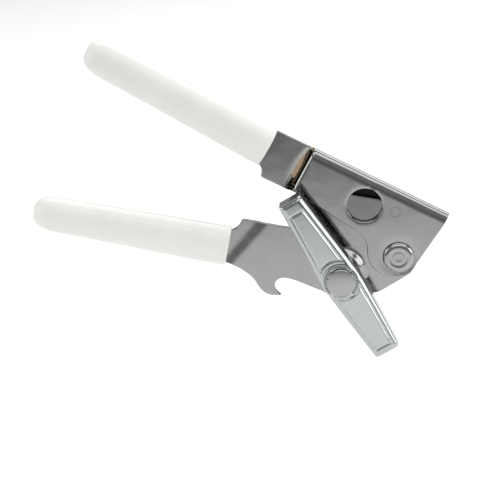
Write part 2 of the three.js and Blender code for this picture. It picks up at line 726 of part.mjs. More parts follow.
const lower = new THREE.Group();
lower.rotation.y = rad(LOWER_SLOPE);
lower.add(
  node("lower_handle", lowerHandle(), "plated"),
  seatedGrip("lower_grip", LOWER_SHEET, LOWER_GRIP),
  driveAxis(),
);

const opener = new THREE.Group();
opener.add(upper, lower);

export default opener;
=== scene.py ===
"""A manual can opener: pressed and plated steel handles in white vinyl grips, a crank key, and geared wheels.

Lengths in this file are millimetres until a mesh is made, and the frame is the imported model's: +X towards the head,
+Y away from the crank, +Z up, with the origin at the middle of the pivot rivet's front face.
"""

from __future__ import annotations

import logging
import math
from collections.abc import Callable, Sequence
from dataclasses import dataclass, field
from enum import Enum
from functools import partial

import bmesh
import bpy
import numpy as np
from mathutils import Matrix, Vector
from mathutils.geometry import delaunay_2d_cdt

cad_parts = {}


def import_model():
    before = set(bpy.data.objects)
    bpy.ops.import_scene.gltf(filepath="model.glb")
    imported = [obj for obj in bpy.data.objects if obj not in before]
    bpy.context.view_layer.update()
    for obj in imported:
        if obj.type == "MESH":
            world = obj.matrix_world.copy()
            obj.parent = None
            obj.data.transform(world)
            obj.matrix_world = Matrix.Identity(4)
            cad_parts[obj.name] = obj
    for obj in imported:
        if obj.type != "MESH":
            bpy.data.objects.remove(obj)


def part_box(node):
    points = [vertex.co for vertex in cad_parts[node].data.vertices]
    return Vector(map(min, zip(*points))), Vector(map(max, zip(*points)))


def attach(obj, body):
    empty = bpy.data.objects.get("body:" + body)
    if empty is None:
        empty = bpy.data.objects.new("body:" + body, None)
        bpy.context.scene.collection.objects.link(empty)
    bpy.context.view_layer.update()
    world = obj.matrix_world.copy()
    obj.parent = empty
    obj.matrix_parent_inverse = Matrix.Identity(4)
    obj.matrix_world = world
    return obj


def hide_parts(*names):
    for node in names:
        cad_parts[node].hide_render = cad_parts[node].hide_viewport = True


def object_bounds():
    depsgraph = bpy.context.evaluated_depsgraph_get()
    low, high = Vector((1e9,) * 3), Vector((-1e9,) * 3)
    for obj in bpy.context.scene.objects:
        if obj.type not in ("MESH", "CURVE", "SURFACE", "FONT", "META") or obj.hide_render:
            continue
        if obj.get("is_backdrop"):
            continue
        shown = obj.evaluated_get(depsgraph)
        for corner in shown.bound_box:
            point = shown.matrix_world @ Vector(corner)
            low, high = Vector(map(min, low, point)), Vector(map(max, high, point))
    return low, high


log = logging.getLogger("can_opener")

MM = 0.001
# Where the neck meets the head the edge bows: its middle height, half its height, and how far it bows.
NECK_MIDDLE, NECK_REACH, NECK_BOW = 16.7, 12.4, 3.4
# The line from the shaft to the cutter, its angle and length: both gears' pitch radii.
CUTTER_TURN, CENTRE_DISTANCE = math.radians(85.6), 18
# The radius of a bore that runs on the shaft or the stud.
RUNNING_BORE = 3.62
Point = tuple[float, float]
Socket, Tree = bpy.types.NodeSocket, bpy.types.NodeTree
Material, Piece = bpy.types.Material, bpy.types.Object
Placer = Callable[[np.ndarray, np.ndarray, np.ndarray], np.ndarray]


class Body(Enum):
    """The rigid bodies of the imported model."""

    UPPER = "upper_body"
    LOWER = "lower_body"
    CRANK = "crank_body"
    CUTTER = "cutter_body"


class Slot(Enum):
    """The record's material slots."""

    HANDLE = "handle_steel"
    BRIGHT = "bright_steel"
    HARD = "hard_steel"
    BRONZE = "bronze"
    VINYL = "vinyl"


# Node helpers


def linear(hex_colour: str) -> tuple[float, float, float, float]:
    """Turns an sRGB hex colour into the linear one that a shader reads.

    Args:
        hex_colour: Six hex digits after a hash sign.

    Returns:
        Red, green and blue in linear light, and an alpha of 1.
    """
    parts = [int(hex_colour[i : i + 2], 16) / 255 for i in (1, 3, 5)]
    red, green, blue = (p / 12.92 if p <= 0.04045 else ((p + 0.055) / 1.055) ** 2.4 for p in parts)
    return red, green, blue, 1.0


def add_node(tree: Tree, kind: str, links: dict | None = None, **settings: object) -> bpy.types.Node:
    """Adds one node with its settings and links.

    Args:
        tree: The node tree it goes into.
        kind: The node's type name.
        links: Input name or index to a socket that feeds it or a value for it.
        **settings: Properties set on the node itself.

    Returns:
        The new node.
    """
    node = tree.nodes.new(kind)
    for name, value in settings.items():
        setattr(node, name, value)
    for key, value in (links or {}).items():
        socket = node.inputs[key]
        if isinstance(value, Socket):
            tree.links.new(value, socket)
        else:
            socket.default_value = value
    return node


def first(tree: Tree, kind: str, links: dict | None = None, **settings: object) -> Socket:
    """Adds one node and gives its first output."""
    return add_node(tree, kind, links, **settings).outputs[0]


def noise(tree: Tree, place: Socket, grain: float, detail: float, rough: float = 0.5) -> Socket:
    """Adds noise of one grain size in millimetres."""
    return first(
        tree, "ShaderNodeTexNoise", {"Vector": place, "Scale": 1 / (grain * MM), "Detail": detail, "Roughness": rough}
    )


def remap(tree: Tree, value: Socket, low: float, high: float, *to: float, **settings: str) -> Socket:
    """Adds a map from one range of values to another, which is 0 to 1 unless it is given."""
    links = {"Value": value, "From Min": low, "From Max": high}
    return first(tree, "ShaderNodeMapRange", links | dict(zip(("To Min", "To Max"), to)), **settings)


def mixed(tree: Tree, share: Socket, one: object, other: object) -> Socket:
    """Adds a mix of two colours."""
    return add_node(tree, "ShaderNodeMix", {0: share, 6: one, 7: other}, data_type="RGBA").outputs[2]


def reckon(tree: Tree, operation: str, one: object, other: object) -> Socket:
    """Adds one sum on two values."""
    return first(tree, "ShaderNodeMath", {0: one, 1: other}, operation=operation)


def dot(tree: Tree, place: Socket, axis: tuple[float, float, float]) -> Socket:
    """Adds a dot product, which is a distance along an axis."""
    return add_node(tree, "ShaderNodeVectorMath", {0: place, 1: axis}, operation="DOT_PRODUCT").outputs["Value"]


def bumped(tree: Tree, height: Socket, strength: float, deep: float, **under: Socket) -> Socket:
    """Adds a bump of a depth in millimetres."""
    return first(tree, "ShaderNodeBump", {"Height": height, "Strength": strength, "Distance": deep * MM, **under})


def new_material(name: str) -> tuple[Material, Tree, Socket]:
    """Makes an empty material, and gives its tree and the Object coordinates too."""
    made = bpy.data.materials.new(name)
    made.use_nodes = True
    made.node_tree.nodes.clear()
    return made, made.node_tree, add_node(made.node_tree, "ShaderNodeTexCoord").outputs["Object"]


def dress(tree: Tree, links: dict) -> None:
    """Ends a material's tree in a surface."""
    shader = add_node(tree, "ShaderNodeBsdfPrincipled", links)
    add_node(tree, "ShaderNodeOutputMaterial", {"Surface": shader.outputs[0]})


# Finishes


@dataclass(frozen=True)
class MetalFinish:
    """Plated or bare steel: a rolled sheet's cloudy sheen, fine lines of its rolling, faint handling marks, and on some
    sheets painted shade or a painted reflection.
    """

    name: str
    colour: str
    shade: str
    roughness: float
    cloud_mm: float = 9.0
    line_mm: float = 0.35
    line_turn: float = 0.0
    line_depth: float = 0.004
    dull: float = 0.12
    wave_mm: float = 0.3
    swell_mm: float = 16
    grit_mm: float = 0.9
    # A painted shade colour, mixed in up the lower handle between two heights, or else in a band beside the head.
    stain: str = ""
    cover_mm: tuple[float, float] = ()

    def material(self) -> Material:
        """Builds the material.

        Returns:
            A node material that reads Object coordinates.
        """
        made, tree, place = new_material(self.name)
        cloud = noise(tree, place, self.cloud_mm, 5.0, 0.55)
        swell = noise(tree, place, self.swell_mm, 2.0)
        stretch = {"Vector": place, "Rotation": (0.0, self.line_turn, 0.0), "Scale": (0.04, 1.0, 1.0)}
        lines = noise(tree, first(tree, "ShaderNodeMapping", stretch), self.line_mm, 3.0, 0.6)
        grit = noise(tree, place, self.grit_mm, 6.0, 0.7)
        colour = mixed(tree, cloud, linear(self.shade), linear(self.colour))
        # Painted shade, or a painted reflection, mixed into the colour where a colour is given for it.
        if self.stain:
            share = self._cover(tree, place) if self.cover_mm else self._band(tree, place)
            colour = mixed(tree, share, colour, linear(self.stain))
        sheen = remap(tree, cloud, 0.3, 0.7, self.roughness - 0.5 * self.dull, self.roughness + 0.5 * self.dull)
        rough = reckon(tree, "ADD", sheen, remap(tree, grit, 0.62, 0.72, 0.0, 0.10))
        bump = bumped(tree, lines, 0.5, self.line_depth, Normal=bumped(tree, swell, 0.6, self.wave_mm))
        dress(tree, {"Base Color": colour, "Metallic": 1.0, "Roughness": rough, "Normal": bump})
        return made

    def _cover(self, tree: Tree, place: Socket) -> Socket:
        """The share of painted shade up the lower handle, darker where the head covers it."""
        low, full = self.cover_mm
        return remap(tree, dot(tree, place, LOWER.up), low * MM, full * MM)

    def _band(self, tree: Tree, place: Socket) -> Socket:
        """The share of brown beside the head's rear edge: a painted reflection of dark things in the neck's sloping
        step.

        Args:
            tree: The material's node tree.
            place: The Object coordinates.

        Returns:
            The share, on the outer face only.
        """
        x, _, z = UPPER.up
        away, high = dot(tree, place, (-z, 0.0, x)), dot(tree, place, UPPER.up)
        off = reckon(tree, "MULTIPLY", reckon(tree, "SUBTRACT", high, NECK_MIDDLE * MM), 1 / (NECK_REACH * MM))
        bow = reckon(tree, "MULTIPLY", reckon(tree, "MULTIPLY", off, off), NECK_BOW * MM)
        start = remap(tree, away, 57.3 * MM, 57.7 * MM)
        stop = remap(tree, reckon(tree, "ADD", away, bow), 60.9 * MM, 61.6 * MM, 1.0, 0.0)
        facing = add_node(tree, "ShaderNodeTexCoord").outputs["Normal"]
        outside = remap(tree, dot(tree, facing, (0.0, -1.0, 0.0)), 0.0, 0.3)
        return reckon(tree, "MULTIPLY", reckon(tree, "MULTIPLY", start, stop), outside)


@dataclass(frozen=True)
class VinylFinish:
    """Moulded vinyl: half gloss, with a faint orange peel and slightly uneven white."""

    name: str = "moulded_white_vinyl"
    colour: str = "#e4e4e1"
    shade: str = "#dbdad6"
    roughness: float = 0.34
    cloud_mm: float = 14
    peel_mm: float = 1.1
    peel_depth: float = 0.05

    def material(self) -> Material:
        """Builds the material.

        Returns:
            A node material that reads Object coordinates.
        """
        made, tree, place = new_material(self.name)
        cloud = noise(tree, place, self.cloud_mm, 4.0)
        links = {
            "Base Color": mixed(tree, cloud, linear(self.shade), linear(self.colour)),
            "Roughness": remap(tree, cloud, 0.3, 0.7, self.roughness - 0.04, self.roughness + 0.06),
            "IOR": 1.53,
            "Subsurface Weight": 0.08,
            "Subsurface Radius": (0.8, 0.7, 0.6),
            "Subsurface Scale": 1.2 * MM,
            "Normal": bumped(tree, noise(tree, place, self.peel_mm, 2.0), 0.35, self.peel_depth),
        }
        dress(tree, links)
        return made


class Finishes:
    """Every material of the object, made once."""

    def __init__(self) -> None:
        """Makes the materials."""
        metal = MetalFinish
        sheet = {"colour": "#9c9d9c", "shade": "#919291", "roughness": 0.12, "line_turn": 0.5, "dull": 0.06}
        # Nickel over pickled sheet: a grey mirror, clouded by the sheet beneath, with painted shade up the lower handle
        # where the head covers it.
        self.handle = metal("nickel_plated_sheet", stain="#7f807f", cover_mm=(9.0, 15.0), **sheet).material()
        # The same sheet, with a painted brown reflection beside the head, on the neck's sloping step.
        self.upper = metal("nickel_plated_folded_sheet", stain="#8f7a66", **sheet).material()
        # Painted shade on the sheet inside the fold, between the flanges: near black.
        self.inside = metal("oiled_steel_inside", "#2a2826", "#1c1b1a", 0.45).material()
        # The same plate over a coined and tumbled key: a little cooler.
        self.key = metal("nickel_plated_key", "#b3b6b7", "#a7aaab", 0.13, line_turn=1.05, dull=0.05).material()
        # Turned and plated: crisp and bright, with rings too fine to see.
        self.bright = metal("nickel_plated_turned", "#a2a3a2", "#979897", 0.14, 5.0, dull=0.05).material()
        # Hardened carbon steel left from the grinder: greyer and duller.
        self.hard = metal("hardened_steel", "#a1a1a0", "#868788", 0.32, 4.0, 0.5).material()
        # Sintered bronze, oil-soaked: matt brown-gold.
        self.bronze = metal("sintered_bronze", "#ad8a55", "#8d6e42", 0.42, 2.0).material()
        self.vinyl = VinylFinish().material()


@dataclass
class Assembly:
    """A sub-assembly, which takes its pieces' materials from the object's finishes."""

    finishes: Finishes

    def turned(
        self,
        node: str,
        centre: Point,
        profile: Sequence[Point],
        body: Body,
        slot: Slot,
        form: str = "turned",
        segments: int = 96,
        closed: bool = True,
        sharp: float = 38.0,
        finish: Material | None = None,
    ) -> Piece:
        """Turns a piece in place of a solid, in the finish of its slot unless another is given.

        Args:
            node: The solid that it stands for.
            centre: Its axis, as X and Z.
            profile: Its profile, as radius and Y.
            body: The body it moves with.
            slot: The record's material slot.
            form: The last word of its name.
            segments: Points round it.
            closed: Whether the profile's end joins its start.
            sharp: The angle in degrees past which an edge stays crisp.
            finish: Another material than the slot's.

        Returns:
            The piece.
        """
        material = finish or getattr(self.finishes, slot.name.lower())
        piece = Turning(f"{node}_{form}", centre, profile, segments, closed).build(material, sharp)
        return hand_over(piece, body, slot, node)


# Outlines


class Outline:
    """A closed path drawn with lines and curves, as a list of close points."""

    def __init__(self, start: Point, step: float = 0.6) -> None:
        """Starts the path.

        Args:
            start: The first point.
            step: The longest gap between two points.
        """
        self.points: list[Point] = [start]
        self.step = step

    def _follow(self, curve: Callable[[float], Point], length: float) -> Outline:
        """Adds points along a curve given over 0 to 1."""
        count = max(1, math.ceil(length / self.step))
        self.points += [curve(i / count) for i in range(1, count + 1)]
        return self

    def line(self, x: float, y: float) -> Outline:
        """Draws a straight line to a point."""
        (x0, y0) = self.points[-1]
        return self._follow(lambda t: (x0 + t * (x - x0), y0 + t * (y - y0)), math.hypot(x - x0, y - y0))

    def curve(self, c1: Point, c2: Point, end: Point) -> Outline:
        """Draws a cubic curve through two handles to a point."""
        p = [np.array(q, float) for q in (self.points[-1], c1, c2, end)]
        length = sum(float(np.linalg.norm(p[i + 1] - p[i])) for i in range(3))

        def at(t: float) -> Point:
            """The curve's point at a share of its way."""
            s = 1 - t
            q = s**3 * p[0] + 3 * s * s * t * p[1] + 3 * s * t * t * p[2] + t**3 * p[3]
            return float(q[0]), float(q[1])

        return self._follow(at, length)

    def bend(self, control: Point, end: Point) -> Outline:
        """Draws a quadratic curve with one handle to a point."""
        a, c, b = (np.array(q, float) for q in (self.points[-1], control, end))
        return self.curve(tuple(a + (c - a) * 2 / 3), tuple(b + (c - b) * 2 / 3), end)

    def arc(self, centre: Point, radius: float, start: float, stop: float) -> Outline:
        """Draws an arc, with its angles in radians, from a line to its start."""
        first = (centre[0] + radius * math.cos(start), centre[1] + radius * math.sin(start))
        if math.dist(first, self.points[-1]) > 0.01:
            self.line(*first)

        def at(t: float) -> Point:
            """The arc's point at a share of its way."""
            angle = start + t * (stop - start)
            return centre[0] + radius * math.cos(angle), centre[1] + radius * math.sin(angle)

        return self._follow(at, abs(stop - start) * radius)

    def closed(self, softness: int = 2) -> np.ndarray:
        """Closes the path.

        Args:
            softness: How many times its corners are eased.

        Returns:
            The points in order, evenly spaced.
        """
        self.line(*self.points[0])
        loop = even_loop(np.array(self.points[:-1]), self.step)
        return softened(loop, softness)


def softened(loop: np.ndarray, times: int) -> np.ndarray:
    """Eases a loop's corners a number of times."""
    for _ in range(times):
        loop = 0.25 * np.roll(loop, 1, 0) + 0.5 * loop + 0.25 * np.roll(loop, -1, 0)
    return loop


def even_loop(loop: np.ndarray, step: float) -> np.ndarray:
    """Spaces the points of a closed loop evenly.

    Args:
        loop: The points in order.
        step: The gap wanted.

    Returns:
        The new points.
    """
    ring = np.vstack([loop, loop[:1]])
    gone = np.concatenate([[0.0], np.cumsum(np.linalg.norm(np.diff(ring, axis=0), axis=1))])
    count = max(12, round(gone[-1] / step))
    at = np.linspace(0, gone[-1], count, endpoint=False)
    return np.stack([np.interp(at, gone, ring[:, 0]), np.interp(at, gone, ring[:, 1])], 1)


def circle(centre: Point, radius: float, count: int = 72) -> np.ndarray:
    """A circle's points in order, turning left."""
    angle = np.linspace(0, 2 * math.pi, count, endpoint=False)
    return np.stack([centre[0] + radius * np.cos(angle), centre[1] + radius * np.sin(angle)], 1)


def moved_in(loop: np.ndarray, distance: float) -> np.ndarray:
    """Moves a loop sideways to its left.

    Args:
        loop: The points in order.
        distance: How far.

    Returns:
        The moved points.
    """
    before, after = loop - np.roll(loop, 1, 0), np.roll(loop, -1, 0) - loop
    before /= np.linalg.norm(before, axis=1, keepdims=True)
    after /= np.linalg.norm(after, axis=1, keepdims=True)
    left_before = np.stack([-before[:, 1], before[:, 0]], 1)
    left = left_before + np.stack([-after[:, 1], after[:, 0]], 1)
    left /= np.linalg.norm(left, axis=1, keepdims=True)
    reach = 1 / np.clip((left * left_before).sum(1, keepdims=True), 0.6, 1)
    return loop + left * distance * reach


def is_inside(points: np.ndarray, loop: np.ndarray) -> np.ndarray:
    """Tells which points lie inside a loop.

    Args:
        points: The points to test.
        loop: The loop's points in order.

    Returns:
        One truth value for each point.
    """
    x, y = points[:, :1], points[:, 1:]
    x0, y0 = loop[:, 0], loop[:, 1]
    x1, y1 = np.roll(x0, -1), np.roll(y0, -1)
    with np.errstate(divide="ignore", invalid="ignore"):
        crosses = ((y0 > y) != (y1 > y)) & (x < (x1 - x0) * (y - y0) / (y1 - y0) + x0)
    return crosses.sum(1) % 2 == 1


def smooth(value: np.ndarray, low: float, high: float) -> np.ndarray:
    """A smooth step from 0 at low to 1 at high."""
    t = np.clip((value - low) / (high - low), 0, 1)
    return t * t * (3 - 2 * t)


# Meshes


def make_piece(name: str, vertices: Sequence, faces: Sequence, material: Material, sharp: float = 38.0) -> Piece:
    """Makes an object from points in millimetres.

    Args:
        name: The object's name.
        vertices: Its points.
        faces: Its faces, as lists of point numbers.
        material: Its finish.
        sharp: The angle in degrees past which an edge stays crisp.

    Returns:
        The object, at the origin.
    """
    mesh = bpy.data.meshes.new(name)
    mesh.from_pydata((np.asarray(vertices, float) * MM).tolist(), [], [list(map(int, f)) for f in faces])
    work = bmesh.new()
    work.from_mesh(mesh)
    bmesh.ops.remove_doubles(work, verts=work.verts, dist=1e-7)
    bmesh.ops.dissolve_degenerate(work, edges=work.edges, dist=1e-8)
    bmesh.ops.recalc_face_normals(work, faces=work.faces)
    work.to_mesh(mesh)
    work.free()
    mesh.shade_smooth()
    mesh.set_sharp_from_angle(angle=math.radians(sharp))
    mesh.materials.append(material)
    return link(name, mesh)


def link(name: str, data: bpy.types.ID | None) -> Piece:
    """Puts data in the scene as an object."""
    made = bpy.data.objects.new(name, data)
    bpy.context.scene.collection.objects.link(made)
    return made


def baked(piece: Piece) -> bpy.types.Mesh:
    """A piece's mesh with its modifiers worked out."""
    return bpy.data.meshes.new_from_object(piece.evaluated_get(bpy.context.evaluated_depsgraph_get()))


def strip(count: int, pairs: Sequence[tuple[int, int]]) -> list[list[int]]:
    """The four-sided faces between pairs of rings of equally many points."""
    n = count
    return [[a * n + i, b * n + i, b * n + (i + 1) % n, a * n + (i + 1) % n] for a, b in pairs for i in range(n)]


def hand_over(piece: Piece, body: Body, slot: Slot, *nodes: str) -> Piece:
    """Puts a finished piece on its body, in place of the plain solids it stands for.

    Args:
        piece: The finished piece.
        body: The body it moves with.
        slot: The record's material slot; not used.
        *nodes: The solids that it stands for.

    Returns:
        The piece.
    """
    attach(piece, body.value)
    if nodes:
        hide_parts(*nodes)
    log.info("%s on %s, %d faces", piece.name, body.value, len(piece.data.polygons))
    return piece


@dataclass
class Pressing:
    """A pressed piece of sheet: an outline with holes, rounded at every edge, put in space by a placing rule."""

    name: str
    outline: np.ndarray
    thickness: float
    place: Placer
    holes: list[np.ndarray] = field(default_factory=list)
    pitch: float = 1.6
    edge: float = 0.3
    extra_rows: Sequence[float] = ()
    extra_columns: Sequence[float] = ()
    wall: Sequence[tuple[np.ndarray, float]] = ()
    rings: Sequence[np.ndarray] = ()

    def _grid(self, loops: list[np.ndarray]) -> np.ndarray:
        """The points inside the sheet, clear of its edges."""
        low, high = self.outline.min(0), self.outline.max(0)
        across = np.concatenate([np.arange(low[0], high[0], self.pitch), np.array(self.extra_columns, float)])
        upward = np.concatenate([np.arange(low[1], high[1], self.pitch), np.array(self.extra_rows, float)])
        xs, ys = np.unique(np.round(across, 3)), np.unique(np.round(upward, 3))
        grid = np.stack(np.meshgrid(xs, ys), -1).reshape(-1, 2)
        keep = is_inside(grid, loops[0])
        for hole in loops[1:]:
            keep &= ~is_inside(grid, hole)
        grid = grid[keep]
        near = np.full(len(grid), np.inf)
        for loop in [*loops, *self.rings]:
            for start in range(0, len(loop), 64):
                gap = np.linalg.norm(grid[:, None] - loop[None, start : start + 64], axis=2).min(1)
                near = np.minimum(near, gap)
        return grid[near > 0.2]

    def build(self, material: Material) -> Piece:
        """Makes the piece.

        Args:
            material: Its finish.

        Returns:
            The object.
        """
        edge = min(self.edge, 0.48 * self.thickness)
        turned = [self.outline] + [hole[::-1] for hole in self.holes]
        support = [moved_in(loop, edge + 0.22) for loop in turned]
        if self.wall:
            support[0] = self.outline
        inner = np.concatenate([*support, *self.rings, self._grid(support)])
        lines, start = [], 0
        for loop in support:
            count = len(loop)
            lines += [(start + i, start + (i + 1) % count) for i in range(count)]
            start += count
        flat, _, faces, origin, _, _ = delaunay_2d_cdt([Vector(p) for p in inner], lines, [], 0, 1e-5)
        flat = np.array([[v.x, v.y] for v in flat])
        centres = np.array([flat[list(f)].mean(0) for f in faces])
        keep = is_inside(centres, support[0])
        for hole in support[1:]:
            keep &= ~is_inside(centres, hole)
        faces = [list(f) for f, wanted in zip(faces, keep) if wanted]
        new_index = {old: i for i, olds in enumerate(origin) for old in olds}
        steps = [math.pi / 2 * k / 3 for k in range(4)]
        bands = [(edge - edge * math.sin(a), edge - edge * math.cos(a)) for a in steps]
        bands += [(d, self.thickness - n) for d, n in reversed(bands)]
        plane, depth, total = [flat, flat], [np.zeros(len(flat)), np.full(len(flat), self.thickness)], 2 * len(flat)
        mesh_faces = faces + [[i + len(flat) for i in reversed(f)] for f in faces]
        start = 0
        for number, loop in enumerate(turned):
            count = len(loop)
            rings = [[new_index[start + i] for i in range(count)]]
            drawn = self.wall if self.wall and number == 0 else [(moved_in(loop, d), n) for d, n in bands]
            for ring, n in drawn:
                plane.append(ring)
                depth.append(np.full(count, n))
                rings.append(list(range(total, total + count)))
                total += count
            rings.append([new_index[start + i] + len(flat) for i in range(count)])
            after = [(i + 1) % count for i in range(count)]
            for upper, lower in zip(rings, rings[1:]):
                mesh_faces += [[upper[i], lower[i], lower[j], upper[j]] for i, j in enumerate(after)]
            start += count
        where, how_deep = np.concatenate(plane), np.concatenate(depth)
        return make_piece(self.name, self.place(where[:, 0], where[:, 1], how_deep), mesh_faces, material)


@dataclass
class Turning:
    """A turned piece about an axis along Y, from a profile of [radius, y] points."""

    name: str
    centre: Point
    profile: Sequence[Point]
    segments: int = 96
    closed: bool = False

    def build(self, material: Material, sharp: float = 38.0) -> Piece:
        """Makes the piece.

        Args:
            material: Its finish.
            sharp: The angle in degrees past which an edge stays crisp.

        Returns:
            The object.
        """
        angle = np.linspace(0, 2 * math.pi, self.segments, endpoint=False)
        rings = [
            np.stack(
                [self.centre[0] + r * np.cos(angle), np.full(self.segments, y), self.centre[1] + r * np.sin(angle)], 1
            )
            for r, y in self.profile
        ]
        pairs = list(zip(range(len(rings)), range(1, len(rings))))
        if self.closed:
            pairs.append((len(rings) - 1, 0))
        return make_piece(self.name, np.concatenate(rings), strip(self.segments, pairs), material, sharp)


def eased(corners: Sequence[Point], radius: float, closed: bool, steps: int = 3) -> list[Point]:
    """Rounds the corners of a profile.

    Args:
        corners: Its corner points.
        radius: How far the rounding reaches along each side.
        closed: Whether the last corner joins the first.
        steps: Points in each rounding.

    Returns:
        The eased profile.
    """
    count, made = len(corners), []
    for i, corner in enumerate(corners):
        if not closed and i in (0, count - 1):
            made.append(corner)
            continue
        here, before, after = (np.array(corners[k % count], float) for k in (i, i - 1, i + 1))
        a, b = before - here, after - here
        reach = min(radius, 0.45 * float(np.linalg.norm(a)), 0.45 * float(np.linalg.norm(b)))
        start, stop = here + a / np.linalg.norm(a) * reach, here + b / np.linalg.norm(b) * reach
        for k in range(steps + 1):
            t = k / steps
            q = (1 - t) ** 2 * start + 2 * t * (1 - t) * here + t * t * stop
            made.append((float(q[0]), float(q[1])))
    return made


def span(node: str) -> tuple[float, float, float]:
    """A turned solid's front, back and outer radius in millimetres."""
    low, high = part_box(node)
    return low.y / MM, high.y / MM, (high.z - low.z) / 2 / MM


# Repeated teeth


@dataclass
class ToothRing:
    """A ring of equal teeth round an axis along Y, repeated by a node tree."""

    name: str
    centre: Point
    front: float
    radius: float
    count: int
    size: tuple[float, float, float]
    roll: tuple[float, float, float]

    def _tree(self, material: Material) -> Tree:
        """Builds the node tree with named inputs.

        Args:
            material: The teeth's finish.

        Returns:
            The tree.
        """
        tree = bpy.data.node_groups.new(self.name + "_tree", "GeometryNodeTree")
        face = tree.interface
        for label, kind in (
            ("Geometry", "Geometry"),
            ("Count", "Int"),
            ("Radius", "Float"),
            ("Tooth size", "Vector"),
            ("Tooth roll", "Vector"),
            ("Axis point", "Vector"),
        ):
            face.new_socket(name=label, in_out="INPUT", socket_type="NodeSocket" + kind)
        face.new_socket(name="Geometry", in_out="OUTPUT", socket_type="NodeSocketGeometry")
        given = add_node(tree, "NodeGroupInput").outputs
        step = partial(first, tree)
        points = step("GeometryNodePoints", {"Count": given["Count"]})
        share = reckon(tree, "DIVIDE", step("GeometryNodeInputIndex"), given["Count"])
        angle = reckon(tree, "MULTIPLY", share, 2 * math.pi)
        turn = step("FunctionNodeEulerToRotation", {0: step("ShaderNodeCombineXYZ", {"Z": angle})})
        tooth = step("GeometryNodeMeshCube", {"Size": given["Tooth size"]})
        rolled = step("GeometryNodeTransform", {"Geometry": tooth, "Rotation": given["Tooth roll"]})
        out = step("ShaderNodeCombineXYZ", {"X": given["Radius"]})
        placed = step("GeometryNodeTransform", {"Geometry": rolled, "Translation": out})
        copies = step("GeometryNodeInstanceOnPoints", {"Points": points, "Instance": placed, "Rotation": turn})
        solid = step("GeometryNodeRealizeInstances", {0: copies})
        upright = {"Geometry": solid, "Translation": given["Axis point"], "Rotation": (math.pi / 2, 0.0, 0.0)}
        stood = step("GeometryNodeTransform", upright)
        dressed = step("GeometryNodeSetMaterial", {"Geometry": stood, "Material": material})
        add_node(tree, "NodeGroupOutput", {0: dressed})
        return tree

    def build(self, material: Material) -> Piece:
        """Makes the teeth as one plain mesh.

        Args:
            material: Their finish.

        Returns:
            The object.
        """
        tree = self._tree(material)
        seed = link(self.name + "_seed", bpy.data.meshes.new(self.name + "_seed"))
        repeat = seed.modifiers.new("teeth", "NODES")
        repeat.node_group = tree
        inputs = {
            "Count": self.count,
            "Radius": self.radius * MM,
            "Tooth size": [s * MM for s in self.size],
            "Tooth roll": list(self.roll),
            "Axis point": [self.centre[0] * MM, self.front * MM, self.centre[1] * MM],
        }
        for item in tree.interface.items_tree:
            if item.in_out == "INPUT" and item.name in inputs:
                repeat[item.identifier] = inputs[item.name]
        mesh = baked(seed)
        mesh.name = self.name
        seed.modifiers.remove(repeat)
        bpy.data.objects.remove(seed)
        if not mesh.materials:
            mesh.materials.append(material)
        return link(self.name, mesh)


# Handles


@dataclass(frozen=True)
class Tilt:
    """A handle's own plane: along its straight back and up from the pivot, turned about Y."""

    degrees: float

    @property
    def up(self) -> tuple[float, float, float]:
        """The handle's own up direction."""
        slope = math.radians(self.degrees)
        return math.sin(slope), 0.0, math.cos(slope)

    def to_frame(self, along: np.ndarray, up: np.ndarray) -> tuple[np.ndarray, np.ndarray]:
        """Turns places in the handle's plane into X and Z."""
        c, s = math.cos(math.radians(self.degrees)), math.sin(math.radians(self.degrees))
        return along * c + up * s, up * c - along * s

    def point(self, along: float, up: float) -> Point:
        """One place as X and Z."""
        x, z = self.to_frame(np.array(along), np.array(up))
        return float(x), float(z)


UPPER = Tilt(28.5)
LOWER = Tilt(11.7)
SHAFT_AT = LOWER.point(-24.4, -12.2)
CUTTER_AT = (
    SHAFT_AT[0] + CENTRE_DISTANCE * math.cos(CUTTER_TURN),
    SHAFT_AT[1] + CENTRE_DISTANCE * math.sin(CUTTER_TURN),
)


